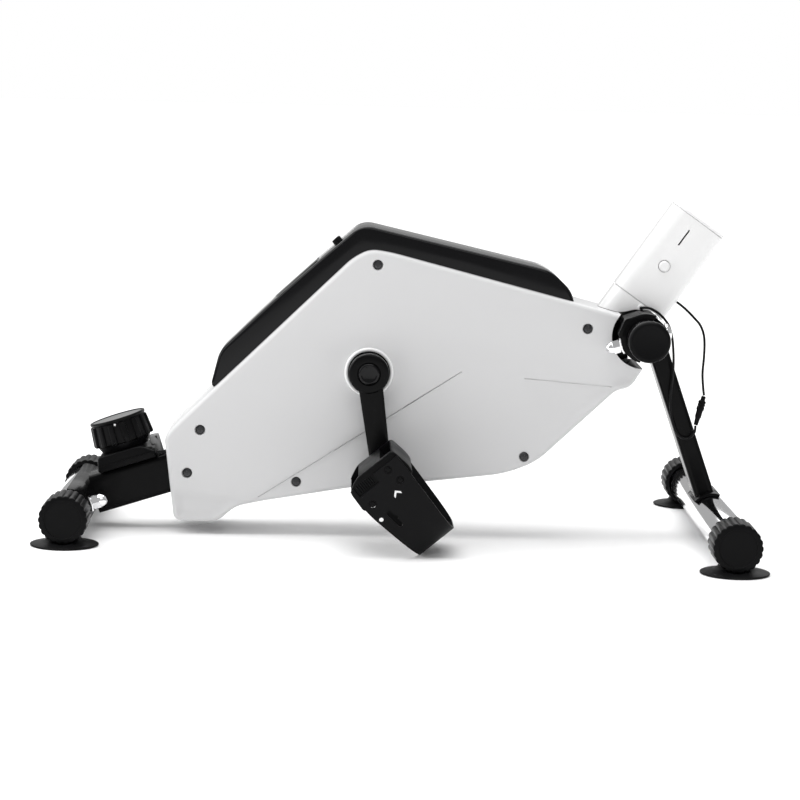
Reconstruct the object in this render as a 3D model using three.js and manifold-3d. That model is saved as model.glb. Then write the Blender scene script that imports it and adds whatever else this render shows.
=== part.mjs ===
// Magnetic pedal exerciser: a compact exercise bike on two stabilisers, with its crank, flywheel,
// magnetic brake, tension knob and the stub of its mast.
// Millimetres, +Z up, +X towards the front, the rider's right-hand side at -Y.
import * as THREE from "three";
import { mergeVertices } from "three/addons/utils/BufferGeometryUtils.js";
import Module from "manifold-3d";

const wasm = await Module();
wasm.setup();

// ---------------------------------------------------------------- driving dimensions
const GAP = 0.3; // clearance between pieces that touch
const STABILISER = { x: 323, z: 27, radius: 19, wall: 1.5, rearLength: 292, frontLength: 456 };
const END_CAP = { radius: 24, length: 44, wall: 5, ribs: 22, ribDepth: 1.1 };
const FOOT = { radius: 33.5, hubRadius: 15, inset: 20 };
const CROSS = { x: 246, z: 208.8, length: 190, capLength: 12, capRadius: 20.2 };
const SPINE = { size: 40, wall: 2, rearSaddle: 88, frontSaddle: 68, rearBolt: 78, frontBolt: 59 };
const SADDLE = { inner: STABILISER.radius + GAP, outer: 22.3, frontOuter: 24.8 };
const LEG = { angle: 19.6, depth: 20, width: 40, wall: 1.5, saddle: 30, bolt: 10 };
const CASE = { half: 50, wall: 3, bevel: 4, neckRadius: 32.5 };
const COVER = { half: 42, wall: 2.2, bevel: 3 };
const CRANK = { x: -28.5, z: 168, length: 98, angle: 8.5, hubRadius: 20, inner: 60, outer: 74 };
const AXLE = { radius: 8.5, half: 69.5 };
const BEARING = { outer: 16, inner: AXLE.radius + GAP, from: 21, to: 31 };
const PEDAL = { width: 86, thick: 30.6, tilt: 40, inner: 79 };
const STRAP = { thick: 2.6, drop: 80, width: 56, tipWidth: 41 };
const PULLEY = { radius: 70, from: 35, to: 44, small: 14 };
const FLYWHEEL = { x: 97, z: 196, radius: 60, from: -42.5, to: -24.5, axle: 6 };
const BRAKE = { pivotAngle: 205, lift: 8 };
const KNOB = { along: 63, radius: 31.5, topRadius: 29.2, height: 25.5, base: 43, coneBase: 35.5 };
const MAST = {
  width: 62, depth: 44, corner: 15, wall: 2.5, length: 100, lean: 34.7, side: -20.2, base: 25.2,
};
const LEAD = { radius: 1.25, hole: 1.9 };

const BLACK_PAINT = [0x101113, 0.38, 0.2];
const CHROME = [0xe9eaec, 0.07, 1.0];
const BLACK_PLASTIC = [0x141517, 0.6, 0.0];
const WHITE_GLOSS = [0xf2f2f1, 0.2, 0.0];
const BLACK_GLOSS = [0x08090a, 0.12, 0.0];
const RUBBER = [0x16171a, 0.8, 0.0];
const STEEL = [0x9a9ca0, 0.35, 0.9];
const IRON = [0x55585c, 0.5, 0.8];

// ---------------------------------------------------------------- solid modelling helpers
const rad = THREE.MathUtils.degToRad;
const TUBE_SIDES = 22;

/** A closed three.js geometry as a manifold-3d solid that faces outwards. */
function solid(geometry) {
  const bare = geometry.clone();
  for (const name of Object.keys(bare.attributes)) if (name !== "position") bare.deleteAttribute(name);
  const merged = mergeVertices(bare, 1e-4);
  const position = merged.attributes.position;
  const corners = [];
  for (let i = 0; i < merged.index.count; i += 3) {
    const [a, b, c] = [0, 1, 2].map((k) => merged.index.getX(i + k));
    if (a !== b && b !== c && a !== c) corners.push([a, b, c]);
  }
  const point = (i) => new THREE.Vector3().fromBufferAttribute(position, i);
  let volume = 0;
  for (const [a, b, c] of corners) volume += point(a).dot(point(b).cross(point(c)));
  const faces = volume < 0 ? corners.map(([a, b, c]) => [a, c, b]) : corners;
  return new wasm.Manifold(
    new wasm.Mesh({ numProp: 3, vertProperties: position.array, triVerts: new Uint32Array(faces.flat()) }),
  );
}

/** A manifold-3d solid as a flat-shaded three.js geometry. */
function geometryOf(shape) {
  const mesh = shape.getMesh();
  const indexed = new THREE.BufferGeometry();
  indexed.setAttribute("position", new THREE.BufferAttribute(new Float32Array(mesh.vertProperties), 3));
  indexed.setIndex(new THREE.BufferAttribute(new Uint32Array(mesh.triVerts), 1));
  const flat = indexed.toNonIndexed();
  flat.computeVertexNormals();
  return flat;
}

const join = (...shapes) => wasm.Manifold.union(shapes);
const cut = (shape, ...tools) => wasm.Manifold.difference([shape, ...tools]);
const overlap = (...shapes) => wasm.Manifold.intersection(shapes);

/** A box between two corners. */
function box(x0, x1, y0, y1, z0, z1) {
  return solid(new THREE.BoxGeometry(x1 - x0, y1 - y0, z1 - z0)).translate([
    (x0 + x1) / 2,
    (y0 + y1) / 2,
    (z0 + z1) / 2,
  ]);
}

/** A cylinder along Y between two planes, centred on (x, z). */
function rodY(x, z, radius, y0, y1, sides = 18) {
  return solid(new THREE.CylinderGeometry(radius, radius, y1 - y0, sides)).translate([x, (y0 + y1) / 2, z]);
}

/** A cylinder along X between two planes, centred on (y, z). */
function rodX(y, z, radius, x0, x1, sides = 12) {
  const along = new THREE.CylinderGeometry(radius, radius, x1 - x0, sides).rotateZ(Math.PI / 2);
  return solid(along).translate([(x0 + x1) / 2, y, z]);
}

/** A cylinder along Z between two planes, centred on (x, y). */
function rodZ(x, y, radius, z0, z1, sides = 12) {
  const along = new THREE.CylinderGeometry(radius, radius, z1 - z0, sides).rotateX(Math.PI / 2);
  return solid(along).translate([x, y, (z0 + z1) / 2]);
}

/** A profile of [radius, height] points turned about the Y axis. */
function turned(profile, sides = 20) {
  return solid(new THREE.LatheGeometry(profile.map(([r, y]) => new THREE.Vector2(r, y)), sides));
}

/** A closed outline from [x, z, cornerRadius] points, with its corners rounded. */
function roundedShape(points) {
  const shape = new THREE.Shape();
  points.forEach(([x, z, radius = 0], i) => {
    const [px, pz] = points[(i + points.length - 1) % points.length];
    const [nx, nz] = points[(i + 1) % points.length];
    const corner = new THREE.Vector2(x, z);
    const start = new THREE.Vector2(px - x, pz - z).setLength(radius).add(corner);
    const end = new THREE.Vector2(nx - x, nz - z).setLength(radius).add(corner);
    if (i === 0) shape.moveTo(start.x, start.y);
    else shape.lineTo(start.x, start.y);
    if (radius > 0) shape.quadraticCurveTo(corner.x, corner.y, end.x, end.y);
  });
  shape.closePath();
  return shape;
}

/** A side profile (X, Z) extruded along Y; edge is the radius of its rounded rims. */
function slab(shape, y0, y1, { edge = 0, rounds = 2, curveSegments = 5 } = {}) {
  const geometry = new THREE.ExtrudeGeometry(shape, {
    depth: y1 - y0 - 2 * edge,
    curveSegments,
    bevelEnabled: edge > 0,
    bevelThickness: edge,
    bevelSize: edge,
    bevelOffset: -edge,
    bevelSegments: rounds,
  });
  return solid(geometry.rotateX(Math.PI / 2)).translate([0, y1 - edge, 0]);
}

/** An anticlockwise outline moved inwards; edges that the move turns round are dropped. */
function insetShape(shape, distance) {
  const drawn = shape.extractPoints(3).shape;
  let points = drawn.filter((p, i) => p.distanceTo(drawn[(i + 1) % drawn.length]) > 0.05);
  for (;;) {
    const count = points.length;
    const edge = (i) => new THREE.Vector2().subVectors(points[(i + 1) % count], points[i % count]).normalize();
    const moved = points.map((p, i) => {
      const [before, after] = [edge(i + count - 1), edge(i)];
      const bisector = new THREE.Vector2(-before.y - after.y, before.x + after.x).normalize();
      return bisector.multiplyScalar(distance / bisector.dot(new THREE.Vector2(-after.y, after.x))).add(p);
    });
    const turned = points.map((p, i) => {
      const movedEdge = new THREE.Vector2().subVectors(moved[(i + 1) % count], moved[i]);
      return edge(i).dot(movedEdge) <= 0;
    });
    if (!turned.some(Boolean)) return new THREE.Shape(moved);
    const at = turned.indexOf(true);
    const next = (at + 1) % count;
    const [before, after] = [edge(at + count - 1), edge(next)];
    const gap = new THREE.Vector2().subVectors(points[next], points[at]);
    const cross = before.cross(after);
    const along = Math.abs(cross) > 1e-6 ? gap.cross(after) / cross : 0;
    points[at] = before.multiplyScalar(along).add(points[at]);
    points = points.filter((_, i) => i !== next);
  }
}

/** A part of a ring about Y, between two angles in degrees that run from +X towards +Z. */
function arcSlab(inner, outer, from, to, y0, y1, x = 0, z = 0) {
  const shape = new THREE.Shape();
  shape.absarc(0, 0, outer, rad(from), rad(to), false);
  shape.absarc(0, 0, inner, rad(to), rad(from), true);
  shape.closePath();
  return slab(shape, y0, y1, { curveSegments: Math.ceil((to - from) / 12) }).translate([x, 0, z]);
}

const object = new THREE.Group();
object.name = "magnetic_pedal_exerciser";

/** Adds one named piece to a group. */
function piece(name, shape, [color, roughness, metalness], group = object) {
  const mesh = new THREE.Mesh(geometryOf(shape), new THREE.MeshStandardMaterial({ color, roughness, metalness }));
  mesh.name = name;
  group.add(mesh);
  return mesh;
}

/** A nested frame at (x, z), with its +X raised by an angle in degrees. */
function frameAt(x, z, raised, parent = object) {
  const frame = new THREE.Group();
  frame.position.set(x, 0, z);
  frame.rotation.y = -rad(raised);
  parent.add(frame);
  return frame;
}

// ---------------------------------------------------------------- nested frames
const spineRun = new THREE.Vector2(CROSS.x + STABILISER.x, CROSS.z - STABILISER.z);
const SPINE_ANGLE = THREE.MathUtils.radToDeg(spineRun.angle());
const SPINE_LENGTH = spineRun.length();
const spineFrame = frameAt(-STABILISER.x, STABILISER.z, SPINE_ANGLE);
const legFrame = frameAt(STABILISER.x, STABILISER.z, LEG.angle);

/** A point of the object's side view in a frame's own axes. */
function local(x, z, frameX, frameZ, raised) {
  const turn = rad(raised);
  const [dx, dz] = [x - frameX, z - frameZ];
  return [dx * Math.cos(turn) + dz * Math.sin(turn), -dx * Math.sin(turn) + dz * Math.cos(turn)];
}
const onSpine = (x, z) => local(x, z, -STABILISER.x, STABILISER.z, SPINE_ANGLE);
const onLeg = (x, z) => local(x, z, STABILISER.x, STABILISER.z, LEG.angle);

/** A shape in spine axes, moved to the object's axes. */
const fromSpine = (shape) =>
  shape.rotate([0, -SPINE_ANGLE, 0]).translate([-STABILISER.x, 0, STABILISER.z]);

// ---------------------------------------------------------------- stabilisers, end caps and feet
/** One chrome stabiliser tube, with the cross holes for its two bolts. */
function stabiliserTube(x, length, boltY, boltAngle) {
  const half = length / 2 - END_CAP.wall - GAP;
  const tube = cut(
    rodY(0, 0, STABILISER.radius, -half, half, TUBE_SIDES),
    rodY(0, 0, STABILISER.radius - STABILISER.wall, -half - 1, half + 1, TUBE_SIDES),
    ...[-1, 1].map((side) => rodX(side * boltY, 0, 4.4, -25, 25, 8).rotate([0, -boltAngle, 0])),
  );
  return tube.translate([x, 0, STABILISER.z]);
}

/** A ribbed end cap that closes outwards, towards side (-1 right, +1 left). */
function endCap(x, length, side) {
  const outline = new THREE.Shape();
  const steps = END_CAP.ribs * 2;
  for (let i = 0; i <= steps; i++) {
    const angle = (2 * Math.PI * i) / steps;
    const radius = END_CAP.radius - (END_CAP.ribDepth / 2) * (1 - Math.cos(angle * END_CAP.ribs));
    outline[i ? "lineTo" : "moveTo"](radius * Math.cos(angle), radius * Math.sin(angle));
  }
  const body = slab(outline, -length / 2, -length / 2 + END_CAP.length, { edge: 1, rounds: 1 });
  const socketFrom = -length / 2 + END_CAP.wall;
  const socket = rodY(0, 0, STABILISER.radius + GAP, socketFrom, -length / 2 + END_CAP.length + 1, TUBE_SIDES);
  const cap = cut(body, socket);
  return (side < 0 ? cap : cap.mirror([0, 1, 0])).translate([x, 0, STABILISER.z]);
}

/** A suction foot: a thin cupped disc whose hub cradles the end cap. */
function foot(x, y) {
  const pad = turned([
    [0, 1.2],
    [FOOT.radius - 5, 1],
    [FOOT.radius - 4.5, 0],
    [FOOT.radius - 1, 0],
    [FOOT.radius, 0.9],
    [FOOT.radius - 1, 2],
    [FOOT.hubRadius + 6, 4.2],
    [FOOT.hubRadius + 2, 7],
    [FOOT.hubRadius, 11],
    [0, 11],
  ]).rotate([90, 0, 0]);
  const cradle = rodY(0, STABILISER.z, END_CAP.radius + GAP, -FOOT.radius - 1, FOOT.radius + 1, TUBE_SIDES);
  return cut(pad, cradle).translate([x, y, 0]);
}

const ENDS = [
  { name: "rear", x: -STABILISER.x, length: STABILISER.rearLength, boltY: SPINE.rearBolt, angle: SPINE_ANGLE },
  { name: "front", x: STABILISER.x, length: STABILISER.frontLength, boltY: LEG.bolt, angle: 90 + LEG.angle },
];
const SIDES = [
  { name: "right", sign: -1 },
  { name: "left", sign: 1 },
];
for (const end of ENDS) {
  piece(`${end.name}_stabiliser_tube`, stabiliserTube(end.x, end.length, end.boltY, end.angle), CHROME);
  for (const side of SIDES) {
    piece(`${end.name}_end_cap_${side.name}`, endCap(end.x, end.length, side.sign), BLACK_PLASTIC);
    const footY = side.sign * (end.length / 2 - FOOT.inset);
    piece(`${end.name}_foot_${side.name}`, foot(end.x, footY), RUBBER);
  }
}

// ---------------------------------------------------------------- main frame
const [crankS, crankN] = onSpine(CRANK.x, CRANK.z);
const [wheelS, wheelN] = onSpine(FLYWHEEL.x, FLYWHEEL.z);
const brakePivot = [
  wheelS + 66 * Math.cos(rad(BRAKE.pivotAngle)),
  wheelN + 66 * Math.sin(rad(BRAKE.pivotAngle)),
];
const LUG_SCREWS = [
  [189.3, 215.7],
  [-208.8, 61.8],
];

/** The upper saddle's outer form in spine axes, grown by an allowance. */
function frontSaddleForm(y0, y1, grow = 0) {
  const boss = [
    [2, SADDLE.frontOuter + grow],
    [-14.6 - grow, 24.6 + grow],
    [-25.6 - grow, 11.5],
    [-24.2 - grow, 8.2],
    [0, 0],
  ];
  const whole = join(rodY(0, 0, SADDLE.frontOuter + grow, y0, y1, TUBE_SIDES), slab(roundedShape(boss), y0, y1));
  return whole.translate([SPINE_LENGTH, 0, 0]);
}

/** The welded frame in spine axes: spine tube, both saddles, crank shell and flywheel boss. */
function mainFrame() {
  const half = SPINE.size / 2;
  const tubeEnds = [SADDLE.inner, SPINE_LENGTH - SADDLE.inner];
  const tube = cut(
    box(...tubeEnds, -half, half, -half, half),
    box(30, SPINE_LENGTH - 30, -half + SPINE.wall, half - SPINE.wall, -half + SPINE.wall, half - SPINE.wall),
  );
  const rearSaddle = arcSlab(SADDLE.inner, SADDLE.outer, -78, 78, -SPINE.rearSaddle, SPINE.rearSaddle);
  const front = cut(
    frontSaddleForm(-SPINE.frontSaddle, SPINE.frontSaddle),
    rodY(SPINE_LENGTH, 0, SADDLE.inner, -100, 100, TUBE_SIDES),
    slab(roundedShape([[0, 0], [-60, -104], [80, -104], [80, 95]]), -100, 100).translate([SPINE_LENGTH, 0, 0]),
  );
  const crankShell = join(
    rodY(crankS, crankN, 20, -31.5, 31.5, TUBE_SIDES),
    ...[-1, 1].map((side) => box(crankS - 18, crankS + 18, side * 14 - 2, side * 14 + 2, half - 1, crankN)),
  );
  const wheelBoss = join(
    rodY(wheelS, wheelN, 12, -19, 19),
    box(wheelS - 8, wheelS + 8, -12, 12, half - 1, wheelN),
  );
  const brakeStud = rodY(...brakePivot, 3, -46.6, -half + 1, 16);
  const lugs = LUG_SCREWS.map(([x, z]) => rodY(...onSpine(x, z), 6, -23.7, -14, 20));
  const bolts = [-1, 1].flatMap((side) => [
    rodX(side * SPINE.rearBolt, 0, 4.4, 0, 30, 8),
    rodX(side * SPINE.frontBolt, 0, 4.4, SPINE_LENGTH - 30, SPINE_LENGTH, 8),
  ]);
  return cut(
    join(tube, rearSaddle, front, crankShell, wheelBoss, brakeStud, ...lugs),
    rodY(crankS, crankN, BEARING.outer + GAP, -32, 32, TUBE_SIDES),
    rodY(wheelS, wheelN, FLYWHEEL.axle + GAP, -20, 20),
    rodY(0, 0, SADDLE.inner, -100, 100, TUBE_SIDES),
    rodY(SPINE_LENGTH, 0, SADDLE.inner, -100, 100, TUBE_SIDES),
    rodZ(120, 0, 4, -half - 1, -half + 5), // drain hole of the spine tube
    ...bolts,
  );
}
piece("main_frame", mainFrame(), BLACK_PAINT, spineFrame);

// ---------------------------------------------------------------- saddle bolts
/** A carriage bolt with its curved washer and acorn nut, along +X; nutSeat is the nut's side. */
function saddleBolt(headSeat, nutSeat) {
  const head = turned([[0, 0], [9, 0], [8.2, 1.6], [5.4, 3.4], [0, 4.2]], 10);
  const washer = arcSlab(nutSeat, nutSeat + 1.5, -18, 18, -8.5, 8.5);
  const nut = solid(new THREE.CylinderGeometry(7.5, 7.5, 7, 6).rotateZ(Math.PI / 2));
  const dome = turned([[0, 0], [6.4, 0], [6.2, 3], [4.8, 6], [2.4, 7.7], [0, 8.1]], 12);
  return join(
    head.rotate([0, 0, 90]).translate([-headSeat, 0, 0]),
    rodX(0, 0, 4, -headSeat - 0.5, nutSeat + 2, 8),
    washer,
    nut.translate([nutSeat + 4.8, 0, 0]),
    dome.rotate([0, 0, -90]).translate([nutSeat + 8.2, 0, 0]),
  );
}
for (const side of SIDES) {
  const rear = saddleBolt(STABILISER.radius + GAP, SADDLE.outer + GAP);
  piece(`rear_saddle_bolt_${side.name}`, rear.translate([0, side.sign * SPINE.rearBolt, 0]), CHROME, spineFrame);
  const front = saddleBolt(SADDLE.outer + GAP, SADDLE.frontOuter + GAP + 0.2).rotate([0, 180, 0]);
  const place = [SPINE_LENGTH, side.sign * SPINE.frontBolt, 0];
  piece(`front_saddle_bolt_${side.name}`, front.translate(place), CHROME, spineFrame);
}

// ---------------------------------------------------------------- cross tube and front leg
function crossTube() {
  const half = CROSS.length / 2;
  const tube = cut(
    rodY(0, 0, STABILISER.radius, -half, half, TUBE_SIDES),
    rodY(0, 0, STABILISER.radius - STABILISER.wall, -half - 1, half + 1, TUBE_SIDES),
    ...[-1, 1].map((side) => rodX(side * SPINE.frontBolt, 0, 4.4, -25, 25, 8)),
  );
  return tube.rotate([0, -SPINE_ANGLE, 0]).translate([CROSS.x, 0, CROSS.z]);
}

/** A smooth domed plug for the cross tube's right-hand end; mirrored for the left. */
function crossCap(side) {
  const reach = CROSS.length / 2 + GAP;
  const plug = turned([
    [0, -14],
    [STABILISER.radius - STABILISER.wall - GAP, -14],
    [STABILISER.radius - STABILISER.wall - GAP, 0],
    [CROSS.capRadius, 0],
    [CROSS.capRadius + 0.6, CROSS.capLength * 0.5],
    [CROSS.capRadius, CROSS.capLength - 2],
    [CROSS.capRadius - 1.6, CROSS.capLength],
    [0, CROSS.capLength],
  ], TUBE_SIDES);
  const outward = side > 0 ? plug : plug.mirror([0, 1, 0]);
  return outward.translate([CROSS.x, side * reach, CROSS.z]);
}
piece("cross_tube", crossTube(), CHROME);
for (const side of SIDES) piece(`cross_tube_cap_${side.name}`, crossCap(side.sign), BLACK_PLASTIC);

/** The front leg in its own axes: a flat tube between two half saddles, with weld nuts inside. */
function frontLeg() {
  const [crossX, crossZ] = onLeg(CROSS.x, CROSS.z);
  const upright = -LEG.angle + SPINE_ANGLE;
  const [dx, dy] = [LEG.depth / 2, LEG.width / 2];
  const tube = cut(
    box(-dx, dx, -dy, dy, STABILISER.radius, crossZ + 2),
    box(-dx + LEG.wall, dx - LEG.wall, -dy + LEG.wall, dy - LEG.wall, 30, crossZ - 24),
    rodY(crossX, crossZ, SADDLE.outer - 0.5, -60, 60, TUBE_SIDES),
  );
  const lower = arcSlab(SADDLE.inner, SADDLE.outer, 50, 125, -LEG.saddle, LEG.saddle);
  const reach = SPINE.frontSaddle;
  const upper = arcSlab(SADDLE.inner, SADDLE.outer, -112, 40, -reach, reach, crossX, crossZ);
  const boltAxis = (side, radius) =>
    rodX(side * SPINE.frontBolt, 0, radius, 0, 32, 8).rotate([0, -upright, 0]).translate([crossX, 0, crossZ]);
  return cut(
    join(tube, lower, upper),
    ...[-1, 1].map((side) => rodZ(0, side * LEG.bolt, 4.4, 0, 36, 8)),
    ...[-1, 1].map((side) => boltAxis(side, 4.4)),
    rodY(0, 0, SADDLE.inner, -60, 60, TUBE_SIDES),
    rodY(crossX, crossZ, SADDLE.inner, -90, 90, TUBE_SIDES),
  );
}
piece("front_leg", frontLeg(), BLACK_PAINT, legFrame);

/** A hex bolt that comes up through the front stabiliser into the leg. */
function legBolt() {
  const head = solid(new THREE.CylinderGeometry(7.3, 7.3, 3.6, 6).rotateX(Math.PI / 2));
  const seat = STABILISER.radius + GAP;
  return join(head.translate([0, 0, -seat - 1.8]), rodZ(0, 0, 4, -seat - 0.5, 34, 16));
}
for (const side of SIDES) {
  piece(`leg_bolt_${side.name}`, legBolt().translate([0, side.sign * LEG.bolt, 0]), STEEL, legFrame);
}

// ---------------------------------------------------------------- casing
const CASE_OUTLINE = [
  [-221.5, 12.5, 9],
  [-178, 12.5, 9],
  [-160, 28.5, 9],
  [-133.5, 34.5, 8],
  [-42.6, 50.4, 12],
  [30, 57.4, 20],
  [110, 67.2, 16],
  [141.6, 79.8, 14],
  [219.6, 154.1, 6],
  [234.3, 157.3, 8],
  [243, 172, 8],
  [266, 205, 12],
  [246, 236, 12],
  [224.5, 229.6, 8],
  [-8.8, 287.6, 11],
  [-30, 290.5, 9],
  [-47.5, 281.1, 9],
  [-222.4, 109.6, 7.5],
  [-232.3, 98, 7.5],
];
const SCREWS = [
  [-21.9, 275],
  [189.3, 215.7],
  [-196.4, 105.6],
  [-208.8, 61.8],
  [-99.3, 55],
  [129.1, 85.2],
];
const isLug = ([x, z]) => LUG_SCREWS.some(([lx, lz]) => lx === x && lz === z);
const caseShape = roundedShape(CASE_OUTLINE);

/** The casing as one hollow body, before it is split into its two shells. */
function casing() {
  const outer = slab(caseShape, -CASE.half, CASE.half, { edge: CASE.bevel, rounds: 1, curveSegments: 4 });
  const rims = SIDES.map(({ sign }) => {
    const [y0, y1] = [sign * (CASE.half - 1), sign * (CASE.half + 7)].sort((a, b) => a - b);
    return rodY(CRANK.x, CRANK.z, 24.6, y0, y1, TUBE_SIDES);
  });
  const hollow = CASE.half - CASE.wall;
  const inner = slab(insetShape(caseShape, CASE.wall), -hollow, hollow);
  const bosses = SCREWS.flatMap((at) => {
    const right = rodY(...at, 6.5, -CASE.half + 2, -24.2, 10);
    return isLug(at) ? [right] : [right, rodY(...at, 6.5, -23.6, CASE.half - 2, 10)];
  });
  return cut(
    join(cut(join(outer, ...rims), inner), ...bosses),
    rodY(CRANK.x, CRANK.z, CRANK.hubRadius + 0.8, -60, 60, TUBE_SIDES),
    rodY(CROSS.x, CROSS.z, CASE.neckRadius, -60, 60, TUBE_SIDES),
    fromSpine(box(10, 140, -27, 27, -20.6, 31)),
    fromSpine(box(540, 600, -20.6, 20.6, -20.6, 20.6)),
    ...SCREWS.map((at) => rodY(...at, 2.4, -60, 30, 8)),
    ...SCREWS.map((at) => rodY(...at, 5.2, -60, -46.4, 10)),
  );
}
const wholeCase = casing();
const halfSpace = (side) => {
  const edges = [GAP / 2, 90].map((y) => side * y).sort((a, b) => a - b);
  return box(-400, 400, ...edges, -10, 400);
};

/** The biggest connected body of a shape, which drops any sliver that a cut leaves. */
const biggest = (shape) => shape.decompose().reduce((a, b) => (a.volume() > b.volume() ? a : b));

for (const side of SIDES) {
  const bossTrim = SCREWS.map((at) =>
    side.sign < 0 ? rodY(...at, 6.8, -23.9, GAP, 10) : rodY(...at, 6.8, -24.3, -23.3, 10),
  );
  const bossSpots = side.sign > 0 ? SCREWS.filter((at) => !isLug(at)) : [];
  const bosses = bossSpots.map((at) => cut(rodY(...at, 6.5, -23.6, 1, 10), rodY(...at, 2.4, -60, 30, 12)));
  const shell = join(cut(overlap(wholeCase, halfSpace(side.sign)), ...bossTrim), ...bosses);
  piece(`casing_shell_${side.name}`, biggest(shell), WHITE_GLOSS);
}

/** A pan-head casing screw along Y, in the right shell's counterbore. */
function casingScrew(at) {
  const tip = isLug(at) ? -24.4 : -8;
  return join(rodY(...at, 4.5, -49, -46.7, 12), rodY(...at, 2, -47, tip, 8));
}
SCREWS.forEach((at, i) => piece(`casing_screw_${i + 1}`, casingScrew(at), STEEL));

// ---------------------------------------------------------------- console cover
const COVER_OUTLINE = [
  [-187, 150, 4.5],
  [-177, 144, 4.5],
  [-20, 250, 8],
  [178.5, 232, 13],
  [172, 253, 7.5],
  [151.1, 272.8, 12],
  [-38, 314.6, 12],
  [-110, 252, 60],
  [-178.6, 184.5, 8],
];
const slope = { x: -61.5, z: 293.5, angle: 45 };
const lens = { x: -103, z: 257.6, length: 56, width: 46 };

/** A shape in the axes of the rider-facing slope: local z stands on the slope. */
const onSlope = (shape, { x, z }) => shape.rotate([0, -slope.angle + 2.2, 0]).translate([x, 0, z]);

function consoleCover() {
  const shape = roundedShape(COVER_OUTLINE);
  const outer = slab(shape, -COVER.half, COVER.half, { edge: COVER.bevel, rounds: 1 });
  const inner = slab(insetShape(shape, COVER.wall), -COVER.half + COVER.wall, COVER.half - COVER.wall);
  const seat = slab(caseShape, -CASE.half - 5, CASE.half + 5);
  const seats = [[-GAP, 0, 0], [0, 0, GAP / 2], [0, 0, GAP]].map((shift) => seat.translate(shift));
  const button = onSlope(rodZ(0, 0, 5.3, -30, 30), slope);
  const window = onSlope(box(-lens.length / 2, lens.length / 2, -lens.width / 2, lens.width / 2, -1.6, 20), lens);
  return biggest(cut(outer, inner, ...seats, button, window));
}
piece("console_cover", consoleCover(), BLACK_GLOSS);
const lensHalf = [lens.length / 2 - GAP, lens.width / 2 - GAP];
const lensPlate = box(-lensHalf[0], lensHalf[0], -lensHalf[1], lensHalf[1], -1.3, 0.6);
piece("console_lens", onSlope(lensPlate, lens), BLACK_GLOSS);
const buttonStack = join(rodZ(0, 0, 5, -3.6, 5.6), rodZ(0, 0, 7.2, -5.2, -3.4));
piece("console_button", onSlope(buttonStack, slope), BLACK_PLASTIC);

// ---------------------------------------------------------------- crank, pedals and straps
piece("crank_axle", rodY(CRANK.x, CRANK.z, AXLE.radius, -AXLE.half, AXLE.half, TUBE_SIDES), STEEL);
for (const side of SIDES) {
  const [y0, y1] = [side.sign * BEARING.from, side.sign * BEARING.to].sort((a, b) => a - b);
  const bore = rodY(CRANK.x, CRANK.z, BEARING.inner, -40, 40);
  const bearing = cut(rodY(CRANK.x, CRANK.z, BEARING.outer, y0, y1), bore);
  piece(`crank_bearing_${side.name}`, bearing, STEEL);
}

/** The right-hand crank, hanging straight down from its axle, before it is turned. */
function crankArm() {
  const arm = [
    [-12.5, 0, 0],
    [-10, -CRANK.length, 0],
    [10, -CRANK.length, 0],
    [12.5, 0, 0],
  ];
  return cut(
    join(
      rodY(0, 0, CRANK.hubRadius, -CRANK.outer, -53, TUBE_SIDES),
      slab(roundedShape(arm), -CRANK.outer + 1, -CRANK.inner, { edge: 1.5, rounds: 1 }),
      rodY(0, -CRANK.length, 12.5, -CRANK.outer, -CRANK.inner, TUBE_SIDES),
    ),
    rodY(0, 0, AXLE.radius + GAP, -69.8, -40, TUBE_SIDES),
    rodY(0, 0, 10.8, -80, -71, TUBE_SIDES),
    rodY(0, -CRANK.length, 7, -80, -40, 24),
  );
}
const crankCap = turned([[0, 0], [10.4, 0], [10.4, 3.2], [8.8, 4.2], [0, 4.6]], TUBE_SIDES).mirror([0, 1, 0]);

const crankTurn = { right: -CRANK.angle, left: 180 - CRANK.angle };
const spindle = {};
for (const side of SIDES) {
  const place = (shape) => {
    const handed = side.sign < 0 ? shape : shape.mirror([0, 1, 0]);
    return handed.rotate([0, crankTurn[side.name], 0]).translate([CRANK.x, 0, CRANK.z]);
  };
  piece(`crank_${side.name}`, place(crankArm()), BLACK_PAINT);
  piece(`crank_cap_${side.name}`, place(crankCap.translate([0, -71.3, 0])), BLACK_PLASTIC);
  const swing = rad(crankTurn[side.name]);
  spindle[side.name] = [CRANK.x - CRANK.length * Math.sin(swing), CRANK.z - CRANK.length * Math.cos(swing)];
}

const pedalMid = -(PEDAL.inner + PEDAL.width / 2);
const pedalHalf = PEDAL.width / 2;
const STRAP_PEGS = [
  [14, 8.5],
  [17, -6.4],
  [-18.5, -8.5],
];

/** The pedal spindle along Y, in pedal axes with the crank on the +Y side. */
function pedalSpindle() {
  return join(
    rodY(0, 0, 6.7, -pedalHalf + 14, pedalHalf + PEDAL.inner - CRANK.inner, 18),
    rodY(0, 0, 9, pedalHalf + 1, pedalHalf + 4.4, 18),
  );
}

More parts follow.
